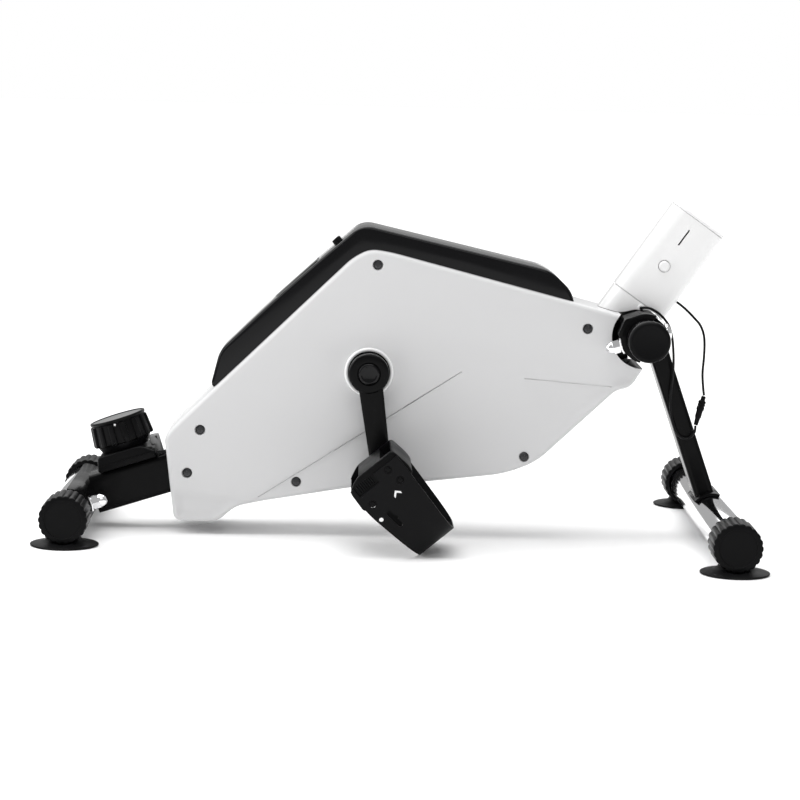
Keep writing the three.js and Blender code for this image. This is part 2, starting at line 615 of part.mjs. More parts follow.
/** The moulded pedal in its own axes; its foot side faces -Z and the crank is on +Y. */
function pedalBody() {
  const top = 20.6;
  const outline = roundedShape([
    [-30, -PEDAL.thick + top, 4],
    [31, -PEDAL.thick + top, 5],
    [32, 0, 4.5],
    [28.6, top, 4],
    [-14.8, top, 4],
    [-29, 14, 5],
  ]);
  const block = slab(outline, -pedalHalf, pedalHalf, { edge: 1.5, rounds: 1, curveSegments: 3 });
  const pockets = [[-26.5, -13], [13.5, 26.5]].map(([x0, x1]) => box(x0, x1, -36, 36, -7, 30));
  const grips = Array.from({ length: 4 }, (_, i) => rodY(-17 + 11.4 * i, -PEDAL.thick + top - 0.9, 1.6, -38, 38, 6));
  const face = Array.from({ length: 4 }, (_, i) => rodZ(-19 + 4.5 * i, -pedalHalf - 0.3, 1, 6, 13, 6));
  const pegs = STRAP_PEGS.flatMap(([x, z]) =>
    [-1, 1].map((end) => {
      const tip = end * (pedalHalf + 3.6);
      return rodY(x, z, 3, Math.min(0, tip), Math.max(0, tip), 10);
    }),
  );
  const bore = rodY(0, 0, 7.1, -pedalHalf + 12, pedalHalf + 10, 18);
  return cut(join(block, ...grips, ...face, ...pegs), ...pockets, bore);
}

/** The rubber foot strap: a loop from one pedal end round the foot to the other. */
function pedalStrap() {
  const inner = pedalHalf + GAP;
  const outer = inner + STRAP.thick;
  const band = (reach, drop, round) => {
    const shape = new THREE.Shape();
    shape.moveTo(-reach, 30);
    shape.lineTo(-reach, -drop + round);
    shape.quadraticCurveTo(-reach, -drop, -reach + round, -drop);
    shape.lineTo(reach - round, -drop);
    shape.quadraticCurveTo(reach, -drop, reach, -drop + round);
    shape.lineTo(reach, 30);
    shape.closePath();
    const geometry = new THREE.ExtrudeGeometry(shape, { depth: 90, bevelEnabled: false, curveSegments: 4 });
    return solid(geometry.rotateX(Math.PI / 2).rotateZ(Math.PI / 2)).translate([-45, 0, 0]);
  };
  const half = STRAP.width / 2;
  const sides = slab(
    roundedShape([
      [-half, 30, 0],
      [-half, -14, 12],
      [-half + 13, -STRAP.drop - 2, 4],
      [-half + 13 + STRAP.tipWidth, -STRAP.drop - 2, 4],
      [half + 1, -6, 12],
      [half + 1, 30, 0],
    ]),
    -60,
    60,
  );
  const upperEdge = box(-50, 50, -60, 60, 14, TUBE_SIDES);
  const holes = STRAP_PEGS.map(([x, z]) => rodY(x, z, 3.4, -60, 60, 10));
  const sizing = [rodY(-21.5, -25.5, 2.2, -60, 0, 14), rodY(-9.5, -32.5, 2.6, -60, 0, 14)];
  const spindleNotch = join(rodY(0, 0, 10.5, 0, 60, 20), box(-10.5, 10.5, 0, 60, 0, 60));
  const slot = slab(roundedShape([[-14.5, -24, 2], [-9.5, -22.5, 2], [-7.5, -42, 2], [-12, -43, 2]]), -60, 0);
  const facePads = box(-24, 0, -60, 0, 4.5, 30);
  const loop = overlap(cut(band(outer, STRAP.drop, 34), band(inner, STRAP.drop - STRAP.thick, 31.6)), sides);
  return biggest(cut(loop, upperEdge, ...holes, ...sizing, slot, facePads, spindleNotch));
}

for (const side of SIDES) {
  const [x, z] = spindle[side.name];
  const place = (shape) => {
    const centred = shape.translate([0, pedalMid, 0]);
    const handed = side.sign < 0 ? centred : centred.mirror([0, 1, 0]);
    return handed.rotate([0, -PEDAL.tilt, 0]).translate([x, 0, z]);
  };
  piece(`pedal_spindle_${side.name}`, place(pedalSpindle()), STEEL);
  piece(`pedal_${side.name}`, place(pedalBody()), BLACK_PLASTIC);
  piece(`pedal_strap_${side.name}`, place(pedalStrap()), RUBBER);
}

// ---------------------------------------------------------------- drive, flywheel and brake
/** A V-belt pulley on the drive's belt line, centred on (x, z). */
function pulley(x, z, radius, bore, hub, sides) {
  const [y0, y1] = [PULLEY.from, PULLEY.to];
  const rim = turned([
    [0, 0],
    [radius + 1.6, 0],
    [radius + 1.6, 0.8],
    [radius, 1.2],
    [radius, y1 - y0 - 1.2],
    [radius + 1.6, y1 - y0 - 0.8],
    [radius + 1.6, y1 - y0],
    [0, y1 - y0],
  ], sides);
  const placed = rim.translate([x, y0, z]);
  const holes = radius > 40
    ? Array.from({ length: 6 }, (_, i) => {
        const angle = (i * Math.PI) / 3;
        return rodY(x + 42 * Math.cos(angle), z + 42 * Math.sin(angle), 13, y0 - 1, y1 + 1, 8);
      })
    : [];
  return cut(join(placed, hub), rodY(x, z, bore, y0 - 30, y1 + 30), ...holes);
}
const bigHub = rodY(CRANK.x, CRANK.z, 14, 32.2, 46);
piece("drive_pulley", pulley(CRANK.x, CRANK.z, PULLEY.radius, AXLE.radius + GAP, bigHub, 32), BLACK_PLASTIC);
const wheelHub = rodY(FLYWHEEL.x, FLYWHEEL.z, 10, 20, 36, 14);
const wheelPulley = pulley(FLYWHEEL.x, FLYWHEEL.z, PULLEY.small, 1, wheelHub, 16);
const wheelAxle = rodY(FLYWHEEL.x, FLYWHEEL.z, FLYWHEEL.axle, -45.5, 45.5);
piece("flywheel_axle", join(wheelPulley, wheelAxle), STEEL);

/** The outline of a belt that wraps two circles; grow is its distance from them. */
function beltShape(grow) {
  const run = new THREE.Vector2(FLYWHEEL.x - CRANK.x, FLYWHEEL.z - CRANK.z);
  const lean = run.angle();
  const spread = Math.acos((PULLEY.radius - PULLEY.small) / run.length());
  const shape = new THREE.Shape();
  const [big, small] = [PULLEY.radius + grow, PULLEY.small + grow];
  shape.absarc(CRANK.x, CRANK.z, big, lean + spread, lean - spread + 2 * Math.PI, false);
  shape.absarc(FLYWHEEL.x, FLYWHEEL.z, small, lean - spread, lean + spread, false);
  shape.closePath();
  return shape;
}
const beltFaces = [PULLEY.from + 1.6, PULLEY.to - 1.6];
const belt = cut(
  slab(beltShape(2), ...beltFaces, { curveSegments: 15 }),
  slab(beltShape(GAP), beltFaces[0] - 1, beltFaces[1] + 1, { curveSegments: 15 }),
);
piece("drive_belt", belt, RUBBER);

function flywheel() {
  const [y0, y1] = [FLYWHEEL.from, FLYWHEEL.to];
  const disc = rodY(FLYWHEEL.x, FLYWHEEL.z, FLYWHEEL.radius, y0, y1, 30);
  const dish = cut(
    rodY(FLYWHEEL.x, FLYWHEEL.z, 44, y0 - 1, y0 + 4, TUBE_SIDES),
    rodY(FLYWHEEL.x, FLYWHEEL.z, 15, y0 - 2, y1, TUBE_SIDES),
  );
  return cut(disc, dish, rodY(FLYWHEEL.x, FLYWHEEL.z, FLYWHEEL.axle + GAP, y0 - 5, y1 + 5));
}
piece("flywheel", flywheel(), IRON);

/** The magnet carrier in axes centred on its pivot, as if fully closed on the flywheel. */
function magnetCarrier() {
  const [cx, cz] = [wheelS - brakePivot[0], wheelN - brakePivot[1]];
  const [y0, y1] = [-46.2, -20.9];
  const back = arcSlab(63.4, 67, 110, 200, y0, y1, cx, cz);
  const cheeks = [[y0, y0 + 1.8], [y1 - 1.8, y1]].map(([a, b]) => arcSlab(48, 66, 112, 190, a, b, cx, cz));
  const lug = cut(
    join(rodY(0, 0, 7, y0, y1, 24), arcSlab(62.6, 69, 196, 205, y0, y1, cx, cz)),
    rodY(0, 0, 3 + GAP, -60, 0, 20),
    rodY(cx, cz, FLYWHEEL.radius + 2, y0 + 1.8, y1 - 1.8, 40),
  );
  return cut(join(back, ...cheeks, lug), rodY(0, 0, 3 + GAP, -60, 0, 20));
}
const brakeFrame = frameAt(...brakePivot, BRAKE.lift, spineFrame);
piece("magnet_carrier", magnetCarrier(), STEEL, brakeFrame);

// ---------------------------------------------------------------- tension control
/** The knob's housing in spine axes: a sloped box and a cone that carries the knob. */
function knobHousing() {
  const half = SPINE.size / 2;
  const side = roundedShape([
    [31, half + GAP, 4],
    [92.5, half + GAP, 2.5],
    [92.5, 27, 2.5],
    [80, 36, 6],
    [35, 36, 4],
  ]);
  const coneHeight = KNOB.base - GAP - KNOB.coneBase;
  const cone = turned([[0, 0], [24, 0], [27.5, coneHeight], [0, coneHeight]], TUBE_SIDES);
  return cut(
    join(
      slab(side, -30, 30, { edge: 1.5, rounds: 1 }),
      cone.rotate([90, 0, 0]).translate([KNOB.along, 0, KNOB.coneBase]),
    ),
    rodZ(KNOB.along, 0, 5.3, 28, 60),
    rodX(-23.5, 24.3, 2.4, 80, 100, 16),
  );
}
piece("knob_housing", knobHousing(), BLACK_PLASTIC, spineFrame);

/** The tension knob on its own axis: a fluted drum with a raised rim and a sunken top. */
function tensionKnob() {
  const drum = turned([
    [0, 0],
    [KNOB.radius - 3, 0],
    [KNOB.radius, 3],
    [KNOB.topRadius, KNOB.height - 2],
    [KNOB.topRadius - 2, KNOB.height],
    [KNOB.topRadius - 4, KNOB.height],
    [KNOB.topRadius - 4.6, KNOB.height - 2],
    [0, KNOB.height - 2],
  ], 36).rotate([90, 0, 0]);
  const flutes = Array.from({ length: 18 }, (_, i) => {
    const angle = (i * Math.PI) / 9;
    return rodZ((KNOB.radius + 3) * Math.cos(angle), (KNOB.radius + 3) * Math.sin(angle), 4.2, -1, KNOB.height - 4, 6);
  });
  return join(cut(drum, ...flutes), rodZ(0, 0, 5, -14, 1, 20));
}
const knobFrame = new THREE.Group();
knobFrame.position.set(KNOB.along, 0, KNOB.base);
spineFrame.add(knobFrame);
piece("tension_knob", tensionKnob(), BLACK_PLASTIC, knobFrame);

/** A tube of a given radius along a chosen list of points. */
function cordAlong(points, radius, steps, sides = 8) {
  const route = new THREE.CatmullRomCurve3(points.map((p) => new THREE.Vector3(...p)), false, "centripetal");
  const section = new THREE.Shape();
  for (let i = 0; i <= sides; i++) {
    const angle = (2 * Math.PI * i) / sides;
    section[i ? "lineTo" : "moveTo"](radius * Math.cos(angle), radius * Math.sin(angle));
  }
  return solid(new THREE.ExtrudeGeometry(section, { steps, bevelEnabled: false, extrudePath: route }));
}
const brakeRoute = [
  [93, -23.5, 24.3],
  [110, -24.5, 22],
  [130, -25, 14],
  [170, -25, 10],
  [360, -25, 8],
];
piece("brake_cable", cordAlong(brakeRoute, 2, 12), RUBBER, spineFrame);

// ---------------------------------------------------------------- mast stub
const mastFrame = new THREE.Group();
const mastTurn = rad(MAST.lean);
mastFrame.position.set(
  CROSS.x + MAST.side * Math.cos(mastTurn) + MAST.base * Math.sin(mastTurn),
  0,
  CROSS.z - MAST.side * Math.sin(mastTurn) + MAST.base * Math.cos(mastTurn),
);
mastFrame.rotation.y = mastTurn;
object.add(mastFrame);
const toMast = (shape) =>
  shape.translate([-mastFrame.position.x, 0, -mastFrame.position.z]).rotate([0, -MAST.lean, 0]);

/** The mast's rounded section, shrunk by an inset and extruded along its length. */
function mastSection(inset, z0, z1) {
  const [w, d, r] = [MAST.width / 2 - inset, MAST.depth / 2 - inset, MAST.corner - inset];
  const shape = new THREE.Shape();
  shape.absarc(w - r, d - r, r, 0, Math.PI / 2, false);
  shape.absarc(-w + r, d - r, r, Math.PI / 2, Math.PI, false);
  shape.absarc(-w + r, -d + r, r, Math.PI, 1.5 * Math.PI, false);
  shape.absarc(w - r, -d + r, r, 1.5 * Math.PI, 2 * Math.PI, false);
  shape.closePath();
  const geometry = new THREE.ExtrudeGeometry(shape, { depth: z1 - z0, bevelEnabled: false, curveSegments: 5 });
  return solid(geometry).translate([0, 0, z0]);
}
const BUTTON = { x: -2.4, z: 43.6, radius: 5.5 };

/** The foot of the mast: a moulded neck between the upper saddle, the casing and the mast. */
function mastNeck() {
  const block = overlap(
    mastSection(0.5, -60, 0),
    slab(roundedShape([[-40, 1], [40, 1], [40, -20], [-12, -46], [-40, -30]]), -22, 22),
  );
  const spigot = mastSection(MAST.wall + GAP, -2, 14);
  const saddle = toMast(fromSpine(frontSaddleForm(-80, 80, GAP)));
  const grownCase = toMast(slab(caseShape, -60, 60).translate([0, 0, GAP + 0.2]));
  const shiftedCase = toMast(slab(caseShape, -60, 60).translate([GAP + 0.1, 0, 0]));
  const tube = toMast(rodY(CROSS.x, CROSS.z, SADDLE.frontOuter + 0.4, -80, 80, TUBE_SIDES));
  const hole = mastSection(MAST.wall + 5, -8, 20);
  const outlet = rodY(4, -4, 3.6, -23.2, -18, 14);
  const leadHole = rodY(4, -4, LEAD.hole, -30, -10, 10);
  return biggest(cut(join(block, spigot, outlet), saddle, tube, grownCase, shiftedCase, hole, leadHole));
}
piece("mast_neck", mastNeck(), WHITE_GLOSS, mastFrame);

/** The mast stub, with its button hole, height slit and the lead's lipped outlet. */
function mastTube() {
  const lip = rodX(0, 22, 4.4, MAST.width / 2 - 1, MAST.width / 2 + 1.2, 14);
  const body = join(cut(mastSection(0, 0.6, MAST.length), mastSection(MAST.wall, -1, MAST.length + 1)), lip);
  return cut(
    body,
    rodY(BUTTON.x, BUTTON.z, BUTTON.radius + GAP, -40, 0, 24),
    box(-4.3, -2.7, -40, -10, 69, 87.5),
    rodX(0, 22, LEAD.hole, 0, 60, 10),
  );
}
piece("mast_tube", mastTube(), WHITE_GLOSS, mastFrame);
const plug = join(
  mastSection(0.4, MAST.length + GAP, MAST.length + 3),
  mastSection(MAST.wall + GAP, MAST.length - 10, MAST.length + 1),
);
piece("mast_plug", plug, WHITE_GLOSS, mastFrame);
const detent = join(
  rodY(BUTTON.x, BUTTON.z, BUTTON.radius, -26, -16, 24),
  rodY(BUTTON.x, BUTTON.z, BUTTON.radius + 1.8, -19.1, -16, 24),
);
piece("mast_button", detent, WHITE_GLOSS, mastFrame);

// ---------------------------------------------------------------- sensor lead
const UPPER_LEAD = [
  [281.7, 0, 241.4],
  [285, 0, 239.2],
  [291.5, -1.5, 234.2],
  [301, -4, 225],
  [307, -7, 218],
  [310.4, -10, 209],
  [311.2, -13, 200],
  [310.6, -17, 186],
  [309.4, -20, 170],
  [310.2, -23, 156],
  [311.2, -24, 148.3],
];
const LOWER_LEAD = [
  [303.4, -26, 117.6],
  [302.6, -26.5, 111],
  [297, -26.5, 104.6],
  [290.5, -26.5, 104.6],
  [284.6, -26.5, 110],
  [281, -26, 118],
  [278, -26, 131],
  [277, -26, 143],
  [277.5, -26.5, 156],
  [278.6, -27.5, 170],
  [278.6, -29, 182],
  [277.5, -31, 196],
  [275.5, -32.5, 209],
  [271, -33.5, 221],
  [262, -33, 231],
  [253, -31.5, 236],
  [247, -28.5, 236.5],
  [244.7, -24.5, 235.4],
  [244.7, -21.5, 235.4],
];
piece("sensor_lead_upper", cordAlong(UPPER_LEAD, LEAD.radius, 18), RUBBER);
piece("sensor_lead_lower", cordAlong(LOWER_LEAD, LEAD.radius, 30), RUBBER);

/** The lead's plug and socket: two ribbed barrels pushed together. */
function leadConnector() {
  const from = new THREE.Vector3(...UPPER_LEAD.at(-1));
  const to = new THREE.Vector3(...LOWER_LEAD[0]);
  const length = from.distanceTo(to) - 4 * GAP;
  const profile = [
    [0, 0],
    [2, 0],
    [2.4, 5],
    [3.9, 5.6],
    [3.9, 14.5],
    [3.2, 15.4],
    [3.2, length - 8],
    [2.6, length - 6],
    [2.2, length],
    [0, length],
  ];
  const geometry = new THREE.LatheGeometry(profile.map(([r, y]) => new THREE.Vector2(r, y)), 12);
  const along = to.clone().sub(from).normalize();
  const turn = new THREE.Quaternion().setFromUnitVectors(new THREE.Vector3(0, 1, 0), along);
  const start = from.clone().add(to.clone().sub(from).setLength(2 * GAP));
  return solid(geometry.applyQuaternion(turn).translate(start.x, start.y, start.z));
}
piece("lead_connector", leadConnector(), BLACK_PLASTIC);

export default object;
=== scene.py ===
"""Visual model of a magnetic pedal exerciser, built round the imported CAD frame.

Shapes are worked out in millimetres, in the frame's axes, and become metres when a piece is made.
+X is the mast end, +Z is up and the rider's right-hand side is at -Y.
"""

from __future__ import annotations

import logging
import math
from dataclasses import dataclass, field
from enum import Enum
from typing import Sequence

import bmesh
import bpy
from mathutils import Matrix, Vector
from mathutils.geometry import delaunay_2d_cdt


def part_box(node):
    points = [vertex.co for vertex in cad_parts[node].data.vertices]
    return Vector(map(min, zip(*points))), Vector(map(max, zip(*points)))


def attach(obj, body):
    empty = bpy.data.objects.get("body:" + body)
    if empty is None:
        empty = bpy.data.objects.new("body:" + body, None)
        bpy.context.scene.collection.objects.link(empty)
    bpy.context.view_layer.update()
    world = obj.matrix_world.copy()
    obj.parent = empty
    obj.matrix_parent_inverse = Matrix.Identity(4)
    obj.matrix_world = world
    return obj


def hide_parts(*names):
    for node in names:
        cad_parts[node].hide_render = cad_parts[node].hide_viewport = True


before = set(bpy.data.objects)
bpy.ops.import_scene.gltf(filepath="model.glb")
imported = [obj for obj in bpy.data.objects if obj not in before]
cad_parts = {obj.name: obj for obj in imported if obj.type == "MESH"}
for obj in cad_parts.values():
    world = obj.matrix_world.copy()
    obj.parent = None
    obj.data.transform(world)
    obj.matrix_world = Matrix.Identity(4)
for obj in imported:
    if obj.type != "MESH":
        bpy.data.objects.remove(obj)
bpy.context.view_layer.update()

LOG = logging.getLogger("pedal_exerciser")
MM = 0.001
GAP = 0.3
FINE = 96  # sides of a large round form
MEDIUM = 48
SMALL = 24

Point2 = tuple[float, float]
Point3 = tuple[float, float, float]
Loop = Sequence[Point2]


class Body(Enum):
    """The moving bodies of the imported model."""

    STAND = "stand"
    CRANKSET = "crankset"
    RIGHT_PEDAL = "right_pedal_set"
    LEFT_PEDAL = "left_pedal_set"
    FLYWHEEL = "flywheel_set"
    KNOB = "knob_set"
    MAGNETS = "magnet_set"
    CONSOLE_KEY = "console_key"
    MAST_KEY = "mast_key"


class Side(Enum):
    """The rider's right-hand and left-hand sides, by the sign of Y."""

    RIGHT = -1
    LEFT = 1

    @property
    def label(self) -> str:
        """The side's name as the CAD nodes spell it."""
        return self.name.lower()


# ---------------------------------------------------------------- shader groups and finishes
def new_group(name: str, inputs: Sequence[tuple[str, str, object]], outputs: Sequence[tuple[str, str]]):
    """Makes an empty shader node group with named sockets.

    Args:
        name: The group's name.
        inputs: (name, socket type, default) of each input.
        outputs: (name, socket type) of each output.

    Returns:
        The tree, its input node and its output node.
    """
    tree = bpy.data.node_groups.new(name, "ShaderNodeTree")
    for label, kind, default in inputs:
        socket = tree.interface.new_socket(label, in_out="INPUT", socket_type=kind)
        socket.default_value = default
    for label, kind in outputs:
        tree.interface.new_socket(label, in_out="OUTPUT", socket_type=kind)
    return tree, tree.nodes.new("NodeGroupInput"), tree.nodes.new("NodeGroupOutput")


def grain_group() -> bpy.types.NodeTree:
    """Fine surface grain: a height for the bump and a slow mottle for the roughness."""
    tree, source, sink = new_group(
        "surface_grain",
        [
            ("Coordinates", "NodeSocketVector", (0.0, 0.0, 0.0)),
            ("Grain Scale", "NodeSocketFloat", 900.0),
            ("Wave Scale", "NodeSocketFloat", 30.0),
            ("Wave Share", "NodeSocketFloat", 0.3),
        ],
        [("Height", "NodeSocketFloat"), ("Mottle", "NodeSocketFloat")],
    )
    link = tree.links.new
    grain = tree.nodes.new("ShaderNodeTexNoise")
    grain.inputs["Detail"].default_value = 3.0
    wave = tree.nodes.new("ShaderNodeTexNoise")
    wave.inputs["Detail"].default_value = 2.0
    mix = tree.nodes.new("ShaderNodeMix")
    link(source.outputs["Coordinates"], grain.inputs["Vector"])
    link(source.outputs["Coordinates"], wave.inputs["Vector"])
    link(source.outputs["Grain Scale"], grain.inputs["Scale"])
    link(source.outputs["Wave Scale"], wave.inputs["Scale"])
    link(source.outputs["Wave Share"], mix.inputs[0])
    link(grain.outputs["Fac"], mix.inputs[2])
    link(wave.outputs["Fac"], mix.inputs[3])
    link(mix.outputs[0], sink.inputs["Height"])
    link(wave.outputs["Fac"], sink.inputs["Mottle"])
    return tree


def dust_group() -> bpy.types.NodeTree:
    """A thin film of dust on upward faces, broken up by noise."""
    tree, source, sink = new_group(
        "dust_film",
        [
            ("Coordinates", "NodeSocketVector", (0.0, 0.0, 0.0)),
            ("Colour", "NodeSocketColor", (0.5, 0.5, 0.5, 1.0)),
            ("Dust", "NodeSocketColor", (0.45, 0.44, 0.42, 1.0)),
            ("Amount", "NodeSocketFloat", 0.05),
        ],
        [("Colour", "NodeSocketColor"), ("Mask", "NodeSocketFloat")],
    )
    link = tree.links.new
    geometry = tree.nodes.new("ShaderNodeNewGeometry")
    split = tree.nodes.new("ShaderNodeSeparateXYZ")
    link(geometry.outputs["Normal"], split.inputs[0])
    noise = tree.nodes.new("ShaderNodeTexNoise")
    noise.inputs["Scale"].default_value = 45.0
    noise.inputs["Detail"].default_value = 4.0
    link(source.outputs["Coordinates"], noise.inputs["Vector"])
    upward = tree.nodes.new("ShaderNodeMapRange")
    upward.inputs["From Min"].default_value = -0.2
    upward.inputs["From Max"].default_value = 1.0
    link(split.outputs["Z"], upward.inputs["Value"])
    patchy = tree.nodes.new("ShaderNodeMath")
    patchy.operation = "MULTIPLY"
    link(upward.outputs["Result"], patchy.inputs[0])
    link(noise.outputs["Fac"], patchy.inputs[1])
    mask = tree.nodes.new("ShaderNodeMath")
    mask.operation = "MULTIPLY"
    link(patchy.outputs[0], mask.inputs[0])
    link(source.outputs["Amount"], mask.inputs[1])
    mix = tree.nodes.new("ShaderNodeMix")
    mix.data_type = "RGBA"
    link(mask.outputs[0], mix.inputs[0])
    link(source.outputs["Colour"], mix.inputs[6])
    link(source.outputs["Dust"], mix.inputs[7])
    link(mix.outputs[2], sink.inputs["Colour"])
    link(mask.outputs[0], sink.inputs["Mask"])
    return tree


@dataclass(frozen=True)
class Finish:
    """One surface finish and the numbers that its shader uses."""

    name: str
    slot: str
    colour: tuple[float, float, float]
    roughness: tuple[float, float]
    metallic: float = 0.0
    grain_scale: float = 900.0
    wave_scale: float = 30.0
    wave_share: float = 0.3
    bump: float = 0.1
    bump_depth: float = 0.00005
    dust: float = 0.0
    coat: float = 0.0
    specular: float = 0.5

    def build(self, groups: dict[str, bpy.types.NodeTree]) -> bpy.types.Material:
        """Makes the finish's material.

        Args:
            groups: The shared shader groups by name.

        Returns:
            The new material.
        """
        material = bpy.data.materials.new(self.name)
        material.use_nodes = True
        tree = material.node_tree
        shader = tree.nodes["Principled BSDF"]
        shader.inputs["Metallic"].default_value = self.metallic
        shader.inputs["Coat Weight"].default_value = self.coat
        shader.inputs["Coat Roughness"].default_value = 0.05
        shader.inputs["Specular IOR Level"].default_value = self.specular
        place = tree.nodes.new("ShaderNodeTexCoord")
        grain = tree.nodes.new("ShaderNodeGroup")
        grain.node_tree = groups["grain"]
        grain.inputs["Grain Scale"].default_value = self.grain_scale
        grain.inputs["Wave Scale"].default_value = self.wave_scale
        grain.inputs["Wave Share"].default_value = self.wave_share
        bump = tree.nodes.new("ShaderNodeBump")
        bump.inputs["Strength"].default_value = self.bump
        bump.inputs["Distance"].default_value = self.bump_depth
        spread = tree.nodes.new("ShaderNodeMapRange")
        spread.inputs["From Min"].default_value = 0.3
        spread.inputs["From Max"].default_value = 0.7
        spread.inputs["To Min"].default_value = self.roughness[0]
        spread.inputs["To Max"].default_value = self.roughness[1]
        link = tree.links.new
        link(place.outputs["Object"], grain.inputs["Coordinates"])
        link(grain.outputs["Height"], bump.inputs["Height"])
        link(grain.outputs["Mottle"], spread.inputs["Value"])
        link(spread.outputs["Result"], shader.inputs["Roughness"])
        link(bump.outputs["Normal"], shader.inputs["Normal"])
        shader.inputs["Base Color"].default_value = (*self.colour, 1.0)
        if self.dust:
            dust = tree.nodes.new("ShaderNodeGroup")
            dust.node_tree = groups["dust"]
            dust.inputs["Colour"].default_value = (*self.colour, 1.0)
            dust.inputs["Amount"].default_value = self.dust
            link(place.outputs["Object"], dust.inputs["Coordinates"])
            link(dust.outputs["Colour"], shader.inputs["Base Color"])
        return material


SATIN_BLACK = Finish("satin_black_paint", "frame_paint", (0.0028, 0.0028, 0.003), (0.18, 0.26),
                     grain_scale=420.0, wave_scale=60.0, wave_share=0.6, bump=0.12, dust=0.002, specular=0.08)
CHROME = Finish("chrome_plate", "chrome_plate", (0.93, 0.93, 0.94), (0.05, 0.11), metallic=1.0,
                grain_scale=260.0, wave_scale=14.0, bump=0.03)
MOULDED_BLACK = Finish("moulded_black", "matte_black", (0.0032, 0.0032, 0.0035), (0.3, 0.42),
                       grain_scale=1500.0, bump=0.35, bump_depth=0.00008, dust=0.002, specular=0.08)
WHITE_SHELL = Finish("white_shell", "white_shell", (0.64, 0.64, 0.645), (0.25, 0.27), grain_scale=1400.0,
                     wave_scale=9.0, wave_share=0.0, bump=0.02, specular=0.4)
WHITE_ENAMEL = Finish("white_enamel", "white_shell", (0.86, 0.86, 0.86), (0.18, 0.22), grain_scale=900.0,
                      wave_scale=9.0, wave_share=0.0, bump=0.02, coat=0.2)
PIANO_BLACK = Finish("piano_black", "gloss_black", (0.003, 0.003, 0.0035), (0.05, 0.1), grain_scale=500.0,
                     wave_scale=16.0, wave_share=0.8, bump=0.03, specular=0.2)
RUBBER = Finish("black_rubber", "black_rubber", (0.004, 0.004, 0.0044), (0.42, 0.56), grain_scale=1800.0,
                bump=0.4, bump_depth=0.0001, dust=0.004, specular=0.1)
LEAD_JACKET = Finish("lead_jacket", "black_rubber", (0.004, 0.004, 0.0045), (0.35, 0.5), grain_scale=1200.0,
                     bump=0.2, specular=0.15)
STEEL = Finish("turned_steel", "bare_steel", (0.42, 0.43, 0.44), (0.22, 0.36), metallic=1.0,
               grain_scale=800.0, bump=0.15)
SCREW_BLACK = Finish("blackened_screw", "bare_steel", (0.05, 0.05, 0.052), (0.25, 0.4), metallic=0.8,
                     grain_scale=900.0, bump=0.2)
IRON = Finish("wheel_iron", "wheel_iron", (0.2, 0.2, 0.21), (0.4, 0.55), metallic=1.0, grain_scale=300.0,
              bump=0.3)
SMOKED_LENS = Finish("smoked_lens", "gloss_black", (0.02, 0.024, 0.022), (0.04, 0.08), wave_scale=10.0,
                     bump=0.01, coat=1.0)
MARKING = Finish("white_marking", "white_shell", (0.85, 0.85, 0.85), (0.4, 0.5), grain_scale=1200.0, bump=0.1)
PALE_TAB = Finish("pale_tab", "white_shell", (0.24, 0.24, 0.24), (0.3, 0.45), grain_scale=1200.0, bump=0.1)
FINISHES = (SATIN_BLACK, CHROME, MOULDED_BLACK, WHITE_SHELL, WHITE_ENAMEL, PIANO_BLACK, RUBBER, LEAD_JACKET,
            STEEL, SCREW_BLACK, IRON, SMOKED_LENS, MARKING, PALE_TAB)


